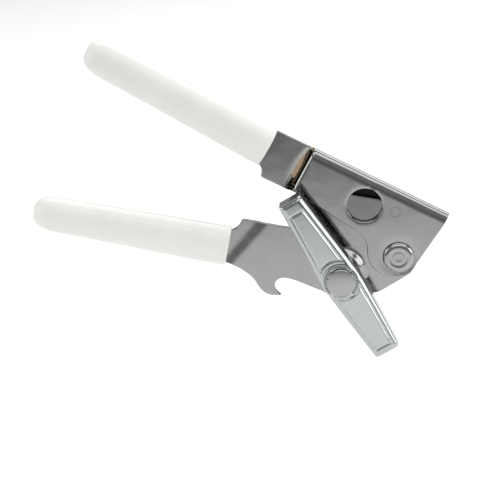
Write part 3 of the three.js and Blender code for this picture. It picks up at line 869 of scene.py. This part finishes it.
@dataclass
class UpperHandle(Assembly):
    """The upper handle: one sheet folded over the lower one, and stepped to meet its grip."""

    front: float = 1.5
    sheet: float = 1.5
    back: float = 6.7
    fold_line: float = 23.4
    back_line: float = 26.0
    head_rear: float = -57.5
    head_front: float = 10.9
    rivet_bore: float = 4.2
    stud_bore: float = 3.1
    stud_boss: float = 7.0
    neck_top: float = 28.1
    neck_low: float = 5.3
    step_back: float = -0.95
    stud: Point = (0.0, 0.0)
    hole: Point = (-25.4, 15.2)
    hole_radius: float = 8.0
    lobe: float = 9.6

    @property
    def bend(self) -> float:
        """The fold's outer radius."""
        return (self.back - self.front) / 2

    @property
    def crown(self) -> float:
        """How far the fold's front half reaches up, outside."""
        return self.back_line + self.bend - self.fold_line

    @property
    def front_run(self) -> float:
        """The sheet's length over the fold's front half, along its middle."""
        half = self.sheet / 2
        return math.pi / 2 * math.sqrt(((self.crown - half) ** 2 + (self.bend - half) ** 2) / 2)

    @property
    def fold_run(self) -> float:
        """The sheet's length round the whole fold, along its middle."""
        return self.front_run + math.pi / 2 * (self.bend - self.sheet / 2)

    def rear(self, up: float) -> float:
        """A height on the back flange as a distance along the unfolded sheet."""
        return self.fold_line + self.fold_run + self.back_line - up

    def place(self, along: np.ndarray, run: np.ndarray, deep: np.ndarray) -> np.ndarray:
        """Folds the flat sheet into shape.

        Args:
            along: Distance along the handle.
            run: Distance along the sheet, up the front, round the fold and down the back.
            deep: Depth into the sheet from its outer face.

        Returns:
            The points in the frame.
        """
        middle = (self.front + self.back) / 2
        gone = run - self.fold_line
        first = np.clip(gone / self.front_run, 0, 1)
        second = np.clip((gone - self.front_run) / (self.fold_run - self.front_run), 0, 1)
        turn = (first + second) * math.pi / 2
        y = middle - (self.bend - deep) * np.cos(turn)
        over_front = self.fold_line + (self.crown - deep) * np.sin(turn)
        over_back = self.back_line + (self.bend - deep) * np.sin(turn)
        up = np.where(gone < self.front_run, over_front, over_back)
        up = np.where(gone < 0, run, up)
        flat_up = self.rear(0) - run
        up = np.where(gone > self.fold_run, flat_up, up)
        bow = NECK_BOW * (1 - np.clip(np.abs(flat_up - NECK_MIDDLE) / NECK_REACH, 0, 1) ** 2)
        neck = np.where(flat_up < self.neck_top + 0.6, smooth(-along, 57.8, 59.4 + bow), 0.0)
        y_neck = self.back - deep + self.step_back
        y = y * (1 - neck) + y_neck * neck
        up = up * (1 - neck) + flat_up * neck
        from_hole = np.hypot(along - self.hole[0], run - self.hole[1]) - self.hole_radius
        lip = 0.12 * (1 - smooth(from_hole, 0.0, 0.9))
        dish = 0.2 * (1 - smooth(np.hypot(along, run), 7.6, 9.4))
        y = np.where(gone < 0, y + lip + dish, y)
        curl = 0.5 * smooth(-along, -self.head_rear - 1.1, -self.head_rear + 0.1) * (1 - neck)
        y = np.where(gone < self.front_run, y + curl * np.cos(turn), y)
        x, z = UPPER.to_frame(along, up)
        return np.stack([x, y, z], 1)

    def outline(self) -> np.ndarray:
        """The unfolded sheet's outline."""
        lobe, rear, low, boss = self.lobe, self.rear, self.neck_low, self.stud_boss
        path = Outline((self.head_rear, rear(self.neck_top) - 1.2))
        path.line(self.head_rear, 8.9).bend((self.head_rear, 7.0), (-55.1, 6.7)).line(-29.8, 3.5)
        path.curve((-20, 3.4), (-16, 0.9), (-13.8, -4.2))
        path.curve((-10.9, -9.9), (-3.2, -12.9), (0.26 * lobe, -1.03 * lobe))
        path.curve((0.73 * lobe, -0.79 * lobe), (lobe, -0.41 * lobe), (0.92 * lobe, 0.06 * lobe))
        path.line(self.head_front, self.fold_line).line(self.head_front, rear(self.back_line))
        path.line(0.92 * lobe, rear(0.06 * lobe))
        path.curve((lobe, rear(-0.41 * lobe)), (0.73 * lobe, rear(-0.79 * lobe)), (0.26 * lobe, rear(-1.03 * lobe)))
        path.curve((-0.4 * lobe, rear(-1.12 * lobe)), (-0.9 * lobe, rear(-0.75 * lobe)), (-lobe, rear(-0.3 * lobe)))
        end = 1.72 * math.pi
        stop = (self.stud[0] + boss * math.cos(end), self.stud[1] + boss * math.sin(end))
        path.curve((-12, rear(-2)), (-15.5, rear(-2.5)), (stop[0], rear(stop[1])))
        path.arc((self.stud[0], rear(self.stud[1])), boss, -end, -math.pi)
        path.curve((self.stud[0] - boss, rear(self.stud[1] + boss)), (-45, rear(low)), (self.head_rear + 4, rear(low)))
        path.line(-73.1, rear(low)).bend((-73.6, rear(9.4)), (-76.6, rear(10.3)))
        path.line(-79.5, rear(10.3)).line(-79.5, rear(self.neck_top)).line(self.head_rear, rear(self.neck_top))
        return path.closed(2)

    def build(self) -> None:
        """Makes the handle."""
        rows = np.linspace(self.fold_line, self.fold_line + self.fold_run, 19)
        rivet = [circle((0, up), self.rivet_bore, 48) for up in (0, self.rear(0))]
        stud = circle((self.stud[0], self.rear(self.stud[1])), self.stud_bore, 40)
        holes = [circle(self.hole, self.hole_radius, 96), *rivet, stud]
        columns = [self.head_rear + step for step in (0.62, 0.8, 1.05, 1.4)]
        name, sheet = "upper_handle_sheet", self.sheet
        pressing = Pressing(name, self.outline(), sheet, self.place, holes, 1.5, 0.3, rows, columns)
        piece = pressing.build(self.finishes.upper)
        # Faces inside the fold, on the back flange's inner face, get the near-black painted shade.
        piece.data.materials.append(self.finishes.inside)
        slope = math.radians(UPPER.degrees)
        for face in piece.data.polygons:
            x, y, z = face.center / MM
            along = x * math.cos(slope) - z * math.sin(slope)
            if face.normal.y < -0.9 and 4.9 < y < 5.4 and along > self.head_rear + 2:
                face.material_index = 1
        hand_over(piece, Body.UPPER, Slot.HANDLE, "upper_handle")


@dataclass
class DotMark(Assembly):
    """A small plain mark of raised dots in a ring, pressed up from the head's face."""

    at: Point = (-11.5, 18.6)

    def build(self) -> None:
        """Makes the dots."""
        centre = UPPER.point(*self.at)
        dots = ToothRing("head_dot_mark", centre, 1.47, 2.4, 10, (0.8, 0.8, 0.4), (0.0, 0.0, 0.0))
        hand_over(dots.build(self.finishes.upper), Body.UPPER, Slot.HANDLE, "upper_handle")


@dataclass
class LowerHandle(Assembly):
    """The lower handle: a flat sheet with a bottle hook, a hollow boss for the shaft, and a slanted step."""

    front: float = 3.3
    sheet: float = 1.6
    shaft: Point = (-24.4, -12.2)
    shoulder: float = 4.7
    top: float = 25.3
    boss_base: float = 12.0
    boss_top: float = 8.5
    boss_height: float = 2.2
    step_back: float = 0.7
    bore: float = 4.8
    rivet_bore: float = 4.2

    def place(self, along: np.ndarray, up: np.ndarray, deep: np.ndarray) -> np.ndarray:
        """Presses the boss and the step into the sheet.

        Args:
            along: Distance along the handle.
            up: Height above the pivot line.
            deep: Depth into the sheet from its front.

        Returns:
            The points in the frame.
        """
        radius = np.hypot(along - self.shaft[0], up - self.shaft[1])
        boss = 1 - smooth(radius, self.boss_top - 0.2, self.boss_base)
        left = (along + 64.3) * -0.872 + (up - 4.15) * 0.49
        step = smooth(left, -3.0, 3.0)
        y = self.front + deep - self.boss_height * boss + self.step_back * step
        x, z = LOWER.to_frame(along, up)
        return np.stack([x, y, z], 1)

    def outline(self) -> np.ndarray:
        """The sheet's outline."""
        boss = self.boss_base + 1
        sx, sz = self.shaft
        path = Outline((-52.8, self.shoulder))
        path.line(-72.8, self.shoulder).curve((-74.2, 3.6), (-73.6, 0.4), (-77.2, -1.3)).line(-80.2, -1.4)
        path.line(-80.4, -17.6).line(-77.4, -17.7).curve((-73.5, -17.9), (-66.5, -20.2), (-62.6, -24))
        path.curve((-60, -27.5), (-57.5, -30), (-53.5, -29.8)).bend((-50.8, -29.6), (-49.2, -28.7))
        path.curve((-55.4, -26.2), (-54, -20.2), (-48.5, -20.2))
        path.curve((-43, -20.2), (-38, -22.4), (sx - 0.47 * boss, sz - 0.88 * boss))
        path.arc((sx, sz), boss, 1.344 * math.pi, 1.6 * math.pi).line(-6.5, -19.8).bend((-4.6, -18.9), (-3.2, -17.4))
        path.line(6.4, -8.4).bend((8.2, -6.8), (7.7, -3.5))
        path.arc((0, 0), math.hypot(7.7, 3.5), math.atan2(-3.5, 7.7), 0.12 * math.pi)
        path.curve((7.6, 12), (3, self.top), (-5, self.top)).line(-47, self.top)
        path.bend((-50, self.top), (-50, self.top - 3))
        path.line(-50, self.shoulder + 2.8).bend((-50, self.shoulder), (-52.8, self.shoulder))
        return path.closed(1)

    def build(self) -> None:
        """Makes the handle."""
        holes = [circle(self.shaft, self.bore, 72), circle((0, 0), self.rivet_bore, 48)]
        pressing = Pressing("lower_handle_sheet", self.outline(), self.sheet, self.place, holes, 1.0, 0.3)
        hand_over(pressing.build(self.finishes.handle), Body.LOWER, Slot.HANDLE, "lower_handle")


@dataclass
class Grip(Assembly):
    """A moulded vinyl sleeve, oval across and rounded at its end, with a lip round its mouth."""

    name: str
    node: str
    body: Body
    frame: Tilt
    mouth: Point
    tilt: float
    length: float = 91.2
    width: float = 18.9
    end_width: float = 16.9
    thickness: float = 12.6
    middle: float = 5.0

    def rings(self) -> list[tuple[float, float]]:
        """The sleeve's profile as [distance from the mouth, half width] pairs, from inside the mouth to the tip."""
        w, tail, length = self.width / 2, self.end_width / 2, self.length
        made = [(0.9, 0.0), (0.9, 0.55 * w), (0.9, 0.83 * w), (0.7, 0.855 * w), (0.2, 0.865 * w), (0.0, 0.885 * w)]
        made += [(-0.05, 0.915 * w), (0.0, 0.95 * w), (0.2, 0.98 * w), (0.6, 0.997 * w), (1.2, w)]
        for t in np.linspace(0.03, 0.86, 34):
            fall = smooth(np.array(t), 0.05, 0.85)
            made.append((float(t) * length, w - float(fall) * (w - tail)))
        start = length * 0.875
        for angle in np.linspace(0, math.pi / 2, 16):
            made.append((start + (length - start) * math.sin(angle), 0.997 * tail * max(0.0, math.cos(angle)) ** 0.62))
        return made

    def build(self) -> None:
        """Makes the grip."""
        count, power = 64, 2.25
        angle = np.linspace(0, 2 * math.pi, count, endpoint=False)
        across = np.sign(np.cos(angle)) * np.abs(np.cos(angle)) ** (2 / power)
        through = np.sign(np.sin(angle)) * np.abs(np.sin(angle)) ** (2 / power)
        tilt = math.radians(self.tilt)
        points = []
        for away, half in self.rings():
            h = half * across
            along = self.mouth[0] - (away + 0.1) * math.cos(tilt) + h * math.sin(tilt)
            up = self.mouth[1] + (away + 0.1) * math.sin(tilt) + h * math.cos(tilt)
            x, z = self.frame.to_frame(along, up)
            y = self.middle + half * through * self.thickness / self.width
            points.append(np.stack([x, y, z], 1))
        faces = strip(count, [(a, a + 1) for a in range(len(points) - 1)])
        piece = make_piece(self.name, np.concatenate(points), faces, self.finishes.vinyl, 60)
        hand_over(piece, self.body, Slot.VINYL, self.node)


# Crank key


@dataclass
class CrankKey(Assembly):
    """The crank: a pressed key with a rounded rim, flared sides, a raised panel on each arm and an open back."""

    face: float = -9.6
    depth: float = 7.0
    up: float = 44.9
    down: float = 41.9
    lean: float = -30.0
    rim: float = 2.4
    flare: float = 0.1
    widths: tuple[float, float, float] = (3.2, 6.5, 3.7)
    margin: float = 0.75
    sheet: float = 1.1
    raise_by: float = 0.45
    groove: float = 0.18
    hub: float = 10.0
    bore: float = 3.55

    def outline(self, out: float = 0.0) -> np.ndarray:
        """A level outline of the key, upright, turning left.

        Args:
            out: How far outside the flat face it runs.

        Returns:
            Its points, as many for any level.
        """
        top, hub, foot = (w + out for w in self.widths)
        up, down = self.up - self.spread + out, self.down - self.spread + out
        t = np.linspace(0, 1, 96, endpoint=False)[:, None]
        swell = (1 - t) ** 2 * (foot, -down) + 2 * t * (1 - t) * (hub, -0.2 * down) + t * t * (hub, 0)
        side = np.vstack([swell, (1 - t) * (hub, 0) + t * (top, up)])
        t = np.linspace(0, 1, 20, endpoint=False)[:, None]
        head, base = (1 - t) * (top, up) + t * (-top, up), (1 - t) * (-foot, -down) + t * (foot, -down)
        far = np.vstack([side[1:], head[:1]])[::-1] * (-1, 1)
        return softened(np.vstack([base, side, head, far]), 3)

    @property
    def spread(self) -> float:
        """How far the walls stand out past the flat face."""
        return self.rim + self.flare

    def half_width(self, v: np.ndarray) -> np.ndarray:
        """Half the face's width at a distance along the key."""
        top, hub, foot = self.widths
        upper = hub + (top - hub) * np.clip(v / self.up, 0, 1)
        lower = hub + (foot - hub) * np.clip(-v / self.down, 0, 1) ** 1.9
        return np.where(v > 0, upper, lower)

    def relief(self, h: np.ndarray, v: np.ndarray) -> np.ndarray:
        """How far the face stands out at a place on it."""
        side = self.half_width(v) - self.margin - np.abs(h)
        end = np.minimum(self.up - 7.0 - v, self.down - 4.6 + v)
        round_hub = np.hypot(h, v - 1.1) - self.hub
        inside = np.minimum(np.minimum(side, end), round_hub)
        panel = smooth(inside, -0.42, 0.42)
        groove = np.exp(-(((inside + 0.4) / 0.38) ** 2))
        seat = 1 - smooth(np.hypot(h, v), 8.3, 8.9)
        return self.raise_by * panel - self.groove * groove + 0.12 * seat

    def place(self, h: np.ndarray, v: np.ndarray, deep: np.ndarray) -> np.ndarray:
        """Stands the key on its shaft, leant over.

        Args:
            h: Distance across the key.
            v: Distance along it.
            deep: Depth behind its flat face.

        Returns:
            The points in the frame.
        """
        lean = math.radians(self.lean)
        x = SHAFT_AT[0] + h * math.cos(lean) + v * math.sin(lean)
        z = SHAFT_AT[1] - h * math.sin(lean) + v * math.cos(lean)
        return np.stack([x, self.face + deep - self.relief(h, v), z], 1)

    def build(self) -> None:
        """Makes the key."""
        rim, out, sheet, deep = self.rim, self.spread, self.sheet, self.depth
        turn = [math.pi / 2 * k / 7 for k in range(1, 8)]
        levels = [(rim * math.sin(a), rim - rim * math.cos(a)) for a in turn]
        levels += [(rim + self.flare * t, rim + t * (deep - rim)) for t in (0.3, 0.96)]
        levels += [(out - 0.25, deep), (out - 0.8, deep), (out - sheet, deep - 0.3)]
        levels += [(out - sheet - 0.5 * self.flare, rim + 1.6), (rim - sheet, rim + 0.2)]
        levels += [(rim - sheet - 0.35, sheet + 0.2)]
        wall = [(self.outline(away), level) for away, level in levels]
        holes = [circle((0, 0), self.bore, 56)]
        rings = [self.outline(-inset) for inset in (0.22, 0.44, 0.66, 0.88, 1.1, 1.32)]
        key = Pressing("crank_key_pressing", self.outline(), sheet, self.place, holes, 0.3, 0.2, wall=wall, rings=rings)
        hand_over(key.build(self.finishes.key), Body.CRANK, Slot.HANDLE, "crank_key")


# Turned and cut pieces


@dataclass
class DriveTrain(Assembly):
    """The shaft, its bushing and washers, the lock ring and the feed wheel, and the pivot's and cutter's plain washers.
    """

    seat: float = 3.6

    def plain_ring(self, node: str, bore: float, body: Body, slot: Slot) -> None:
        """Makes a washer or collar with eased edges in place of its solid."""
        front, back, radius = span(node)
        corners = [(bore, front), (radius, front), (radius, back), (bore, back)]
        ease = min(0.25, 0.3 * (back - front))
        self.turned(node, self.centre(node), eased(corners, ease, True), body, slot)

    @staticmethod
    def centre(node: str) -> Point:
        """The axis that a round solid is centred on, in millimetres."""
        low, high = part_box(node)
        return (low.x + high.x) / 2 / MM, (low.z + high.z) / 2 / MM

    def shaft_piece(self) -> None:
        """Makes the shaft with its flat head and peened end."""
        front, back, _ = span("drive_shaft")
        ring_front, _, _ = span("crank_lock_ring")
        head = [(0, front), (5.9, front), (6.2, front + 0.05), (6.42, front + 0.2), (6.5, front + 0.45)]
        head += [(6.5, ring_front - 0.12), (3.5, ring_front - 0.1)]
        end = [(3.5, back - 0.9), (4.2, back - 0.85), (4.15, back - 0.5), (3.6, back - 0.15), (2.6, back), (0, back)]
        self.turned("drive_shaft", SHAFT_AT, head + end, Body.CRANK, Slot.BRIGHT, closed=False)

    def lock_ring(self) -> None:
        """Makes the toothed ring that the shaft's head bites on."""
        front, back, radius = span("crank_lock_ring")
        base = [(self.seat, back), (self.seat, front + 0.35), (6.3, front + 0.3)]
        base += [(radius - 0.25, front + 0.45), (radius - 0.1, back)]
        self.turned("crank_lock_ring", SHAFT_AT, base, Body.CRANK, Slot.BRIGHT, "base", finish=self.finishes.key)
        size = (1.8, 0.5, 0.5)
        teeth = ToothRing("crank_lock_ring_teeth", SHAFT_AT, front + 0.42, 7.0, 48, size, (math.pi / 4, 0.0, 0.0))
        hand_over(teeth.build(self.finishes.key), Body.CRANK, Slot.BRIGHT, "crank_lock_ring")

    def bushing(self) -> None:
        """Makes the flanged bronze bushing."""
        front, back, radius = span("shaft_bushing")
        bore, wall = RUNNING_BORE, 4.72
        corners = [(bore, front), (radius, front), (radius, front + 1), (wall, front + 1), (wall, back), (bore, back)]
        self.turned("shaft_bushing", SHAFT_AT, eased(corners, 0.2, True), Body.LOWER, Slot.BRONZE)

    def feed_wheel(self) -> None:
        """Makes the toothed feed wheel."""
        front, back, radius = span("feed_wheel")
        corners = [(self.seat, front), (radius - 0.6, front), (radius - 0.6, back), (self.seat, back)]
        self.turned("feed_wheel", SHAFT_AT, eased(corners, 0.25, True), Body.CRANK, Slot.HARD, "disc")
        size = (0.95, 0.95, back - front - 0.3)
        teeth = ToothRing(
            "feed_wheel_teeth", SHAFT_AT, (front + back) / 2, radius - 0.68, 26, size, (0.0, 0.0, math.pi / 4)
        )
        hand_over(teeth.build(self.finishes.hard), Body.CRANK, Slot.HARD, "feed_wheel")

    def build(self) -> None:
        """Makes the pieces on the shaft, all but the drive gear, and the plain washers and collars."""
        self.shaft_piece()
        self.lock_ring()
        self.bushing()
        self.feed_wheel()
        for node, bore, body, slot in (
            ("crank_collar", self.seat, Body.CRANK, Slot.BRIGHT),
            ("crank_spring_washer", self.seat, Body.CRANK, Slot.HARD),
            ("drive_spacer", self.seat, Body.CRANK, Slot.BRIGHT),
            ("pivot_washer", 4.1, Body.UPPER, Slot.BRIGHT),
            ("cutter_thrust_washer", RUNNING_BORE, Body.UPPER, Slot.BRIGHT),
            ("cutter_spring_washer", RUNNING_BORE, Body.UPPER, Slot.HARD),
        ):
            self.plain_ring(node, bore, body, slot)


@dataclass
class Gear:
    """A spur gear with involute teeth, cut from plate and lightly chamfered."""

    node: str
    centre: Point
    body: Body
    phase: float
    bore: float
    teeth: int = 15
    module: float = 1.2
    pressure: float = 22.5
    addendum: float = 0.85
    dedendum: float = 1.15
    backlash: float = 0.3

    def outline(self) -> np.ndarray:
        """The gear's outline about its own centre."""
        pitch = self.teeth * self.module / 2
        base = pitch * math.cos(math.radians(self.pressure))
        tip, root = pitch + self.addendum * self.module, pitch - self.dedendum * self.module

        def involute(radius: float) -> float:
            """The involute angle at a radius."""
            angle = math.acos(min(1.0, base / radius))
            return math.tan(angle) - angle

        half = (math.pi * self.module / 2 / 2 - self.backlash / 2) / pitch + involute(pitch)
        flank = [base + (tip - base) * k / 5 for k in range(6)]
        points: list[Point] = []
        for tooth in range(self.teeth):
            middle = self.phase + 2 * math.pi * tooth / self.teeth
            rising = [(r, middle - half + involute(r)) for r in flank]
            falling = [(r, middle + half - involute(r)) for r in reversed(flank)]
            rounded = [(root, middle - half), *rising, *falling, (root, middle + half)]
            points += [(r * math.cos(a), r * math.sin(a)) for r, a in rounded]
        return np.array(points)

    def build(self, material: Material) -> None:
        """Makes the gear in place of its solid.

        Args:
            material: Its finish.
        """
        front, back, _ = span(self.node)
        cx, cz = self.centre

        def place(along: np.ndarray, up: np.ndarray, deep: np.ndarray) -> np.ndarray:
            """Stands the flat gear on its axis."""
            return np.stack([cx + along, front + deep, cz + up], 1)

        holes = [circle((0, 0), self.bore, 56)]
        gear = Pressing(self.node + "_cut", self.outline(), back - front, place, holes, 3.0, 0.12)
        hand_over(gear.build(material), self.body, Slot.HARD, self.node)


@dataclass
class Cutter(Assembly):
    """The cutting wheel, its bush, and the stud and screw that hold it."""

    stud: float = 3.5

    def build(self) -> None:
        """Makes the cutter's turned pieces and both gears."""
        front, back, radius = span("cutting_wheel")
        blade = [(5.1, front), (radius - 1.0, front), (radius - 0.02, front + 0.02), (radius, front + 0.1)]
        blade += [(radius - 2.6, back - 0.05), (radius - 2.9, back), (5.1, back)]
        self.turned("cutting_wheel", CUTTER_AT, blade, Body.CUTTER, Slot.HARD, "ground", 128, sharp=12)
        front, back, _ = span("cutter_bushing")
        gear_back = span("cutter_gear")[1]
        blade_front = span("cutting_wheel")[0]
        bush = [(RUNNING_BORE, front), (5.02, front), (5.02, gear_back + 0.1), (5.62, gear_back + 0.1)]
        bush += [(5.62, blade_front - 0.1), (5.02, blade_front - 0.1), (5.02, back), (RUNNING_BORE, back)]
        self.turned("cutter_bushing", CUTTER_AT, eased(bush, 0.15, True), Body.CUTTER, Slot.BRIGHT)
        front, back, _ = span("cutter_stud")
        stud = [(0, front), (3.0, front), (3.0, front + 1.6), (self.stud, front + 1.6), (self.stud, back), (1.7, back)]
        stud += [(1.7, back - 6.4), (0, back - 6.4)]
        self.turned("cutter_stud", CUTTER_AT, eased(stud, 0.15, False), Body.UPPER, Slot.HARD, closed=False)
        self.screw()
        Gear("drive_gear", SHAFT_AT, Body.CRANK, CUTTER_TURN, 3.6).build(self.finishes.hard)
        meshed = CUTTER_TURN + math.pi + math.pi / 15
        Gear("cutter_gear", CUTTER_AT, Body.CUTTER, meshed, 5.12).build(self.finishes.hard)

    def screw(self) -> None:
        """Makes the slotted screw, its head crowned and its slot cut through."""
        front, back, radius = span("cutter_screw")
        head = back - 2.0
        profile = [(0, front), (1.4, front), (1.58, front + 0.2), (1.58, head), (radius - 0.1, head)]
        profile += [(radius, head + 0.15), (radius, back - 0.7), (radius - 0.2, back - 0.35)]
        profile += [(radius - 0.8, back - 0.12), (0.5 * radius, back - 0.02), (0, back)]
        piece = Turning("cutter_screw_turned", CUTTER_AT, profile).build(self.finishes.bright, 30)
        x, z = CUTTER_AT
        slot = make_piece("screw_slot", *block(x, back, z, 2 * radius + 1, 2.2, 1.3), self.finishes.bright)
        cut = piece.modifiers.new("slot", "BOOLEAN")
        cut.object, cut.operation, cut.solver = slot, "DIFFERENCE", "EXACT"
        mesh = baked(piece)
        piece.modifiers.remove(cut)
        piece.data = mesh
        bpy.data.objects.remove(slot)
        mesh.set_sharp_from_angle(angle=math.radians(30))
        hand_over(piece, Body.UPPER, Slot.BRIGHT, "cutter_screw")


def block(x: float, y: float, z: float, wide: float, deep: float, tall: float) -> tuple[list, list]:
    """The corners and faces of a box about a point."""
    half = (wide / 2, deep / 2, tall / 2)
    corners = [(x + i * half[0], y + j * half[1], z + k * half[2]) for i in (-1, 1) for j in (-1, 1) for k in (-1, 1)]
    faces = [(0, 1, 3, 2), (4, 6, 7, 5), (0, 4, 5, 1), (2, 3, 7, 6), (0, 2, 6, 4), (1, 5, 7, 3)]
    return corners, faces


@dataclass
class PivotRivet(Assembly):
    """The rivet that the handles turn on: a broad head with a coined flat, and a domed tail."""

    def build(self) -> None:
        """Makes the rivet."""
        front, back, _ = span("pivot_rivet")
        profile = [(0, 0.16), (1.4, 0.16), (1.9, 0.1), (2.6, 0.1), (3.0, 0.16), (3.9, 0.14), (4.4, 0.02)]
        profile += [(4.8, 0.0), (5.3, 0.02), (5.8, 0.12), (6.4, 0.34), (6.9, 0.68), (7.15, 1.05), (7.2, 1.38)]
        profile += [(4.0, 1.4), (4.0, back - 1.3), (6.0, back - 1.3), (5.85, back - 0.8), (5.2, back - 0.35)]
        profile += [(4.0, back - 0.08), (2.0, back), (0, back)]
        placed = [(r, front + y) if y < 2 else (r, y) for r, y in profile]
        self.turned("pivot_rivet", (0.0, 0.0), placed, Body.UPPER, Slot.BRIGHT, "headed", 112, False, 45)


# Stage


@dataclass
class Studio:
    """A pale floor, soft lights and the camera."""

    eye: tuple[float, float, float] = (-27.0, -622.4, 250.4)
    ahead: tuple[float, float, float] = (-0.06733, 0.93112, -0.35844)
    yaw: float = -4.14
    roll: float = -2.76
    lens: float = 109.8
    # Below the lower grip's end when the handles are wide open, so that nothing sinks in at any opening.
    floor_height: float = -107.0
    # The floor's painted shade fades in from the first of these to full grey at the second.
    pale_from: float = -214.0
    grey_from: float = -554.0

    def camera(self) -> None:
        """Sets the camera at the viewer's place."""
        ahead = Vector(self.ahead).normalized()
        yaw, roll = math.radians(self.yaw), math.radians(self.roll)
        right = Vector((math.cos(yaw), -math.sin(yaw), 0.0))
        right = (right - ahead * right.dot(ahead)).normalized()
        above = right.cross(ahead)
        side = math.cos(roll) * right + math.sin(roll) * above
        top = -math.sin(roll) * right + math.cos(roll) * above
        turn = Matrix((side, top, -ahead)).transposed().to_4x4()
        data = bpy.data.cameras.new("viewer")
        data.lens, data.sensor_width = self.lens, 36.0
        data.clip_start, data.clip_end = 0.01, 20.0
        camera = link("viewer", data)
        camera.matrix_world = Matrix.Translation(Vector(self.eye) * MM) @ turn
        bpy.context.scene.camera = camera

    def floor(self) -> None:
        """Lays the pale floor, with painted shade in front of the object."""
        mesh = bpy.data.meshes.new("floor")
        reach, height = 4.0, self.floor_height * MM
        corners = [(-reach, -reach, height), (reach, -reach, height), (reach, reach, height), (-reach, reach, height)]
        mesh.from_pydata(corners, [], [(0, 1, 2, 3)])
        # Matt paper, pale under the object, with painted shade greying it well in front, where the plates mirror it.
        paint, tree, place = new_material("matt_pale_paper")
        away = add_node(tree, "ShaderNodeSeparateXYZ", {0: place}).outputs["Y"]
        share = remap(tree, away, self.grey_from * MM, self.pale_from * MM, interpolation_type="SMOOTHSTEP")
        shade = mixed(tree, share, linear("#929292"), linear("#fdfdfc"))
        dress(tree, {"Base Color": shade, "Roughness": 0.9, "Specular IOR Level": 0.1})
        mesh.materials.append(paint)
        floor = link("floor", mesh)
        floor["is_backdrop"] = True

    @staticmethod
    def soft_light(name: str, place: tuple, size: tuple, power: float, aim: tuple = (-0.07, 0.0, 0.02)) -> None:
        """Hangs one rectangular soft light and turns it to the object."""
        data = bpy.data.lights.new(name, "AREA")
        data.shape, data.size, data.size_y, data.energy = "RECTANGLE", size[0], size[1], power
        light = link(name, data)
        light.location = place
        light.rotation_euler = (Vector(aim) - Vector(place)).to_track_quat("-Z", "Y").to_euler()

    def build(self) -> None:
        """Sets up the stage."""
        self.camera()
        self.floor()
        world = bpy.data.worlds.new("soft_room")
        world.use_nodes = True
        sky = world.node_tree.nodes["Background"]
        sky.inputs["Color"].default_value = linear("#f4f4f4")
        sky.inputs["Strength"].default_value = 0.4
        bpy.context.scene.world = world
        bpy.context.scene.view_settings.view_transform = "Standard"
        self.soft_light("overhead", (0.25, 0.45, 1.15), (1.8, 1.7), 20.0, (0.25, 0.45, 0.0))
        self.soft_light("front", (0.1, -1.0, 0.8), (1.7, 0.55), 4.8)
        self.soft_light("left", (-1.0, -0.3, 0.22), (1.1, 0.45), 3.0)
        self.soft_light("right", (1.0, -0.3, 0.2), (1.3, 0.5), 4.5)


# Everything


def corners(box: tuple[Vector, Vector]) -> list[list[float]]:
    """A box's two corners as plain lists."""
    return [list(box[0]), list(box[1])]


def main() -> None:
    """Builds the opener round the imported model."""
    logging.basicConfig(level=logging.INFO, format="%(name)s: %(message)s")
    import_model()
    sizes = {"cad": corners(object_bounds())}
    Studio().build()
    finishes = Finishes()
    turn = Tilt(-UPPER.degrees)
    UpperHandle(finishes, stud=turn.point(*CUTTER_AT)).build()
    DotMark(finishes).build()
    LowerHandle(finishes).build()
    Grip(finishes, "upper_grip_sleeve", "upper_grip", Body.UPPER, UPPER, (-76.2, 19.2), 2.5).build()
    Grip(finishes, "lower_grip_sleeve", "lower_grip", Body.LOWER, LOWER, (-77.3, -9.8), 0.7).build()
    CrankKey(finishes).build()
    PivotRivet(finishes).build()
    DriveTrain(finishes).build()
    Cutter(finishes).build()
    sizes["visual"] = corners(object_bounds())


if __name__ == "__main__":
    main()
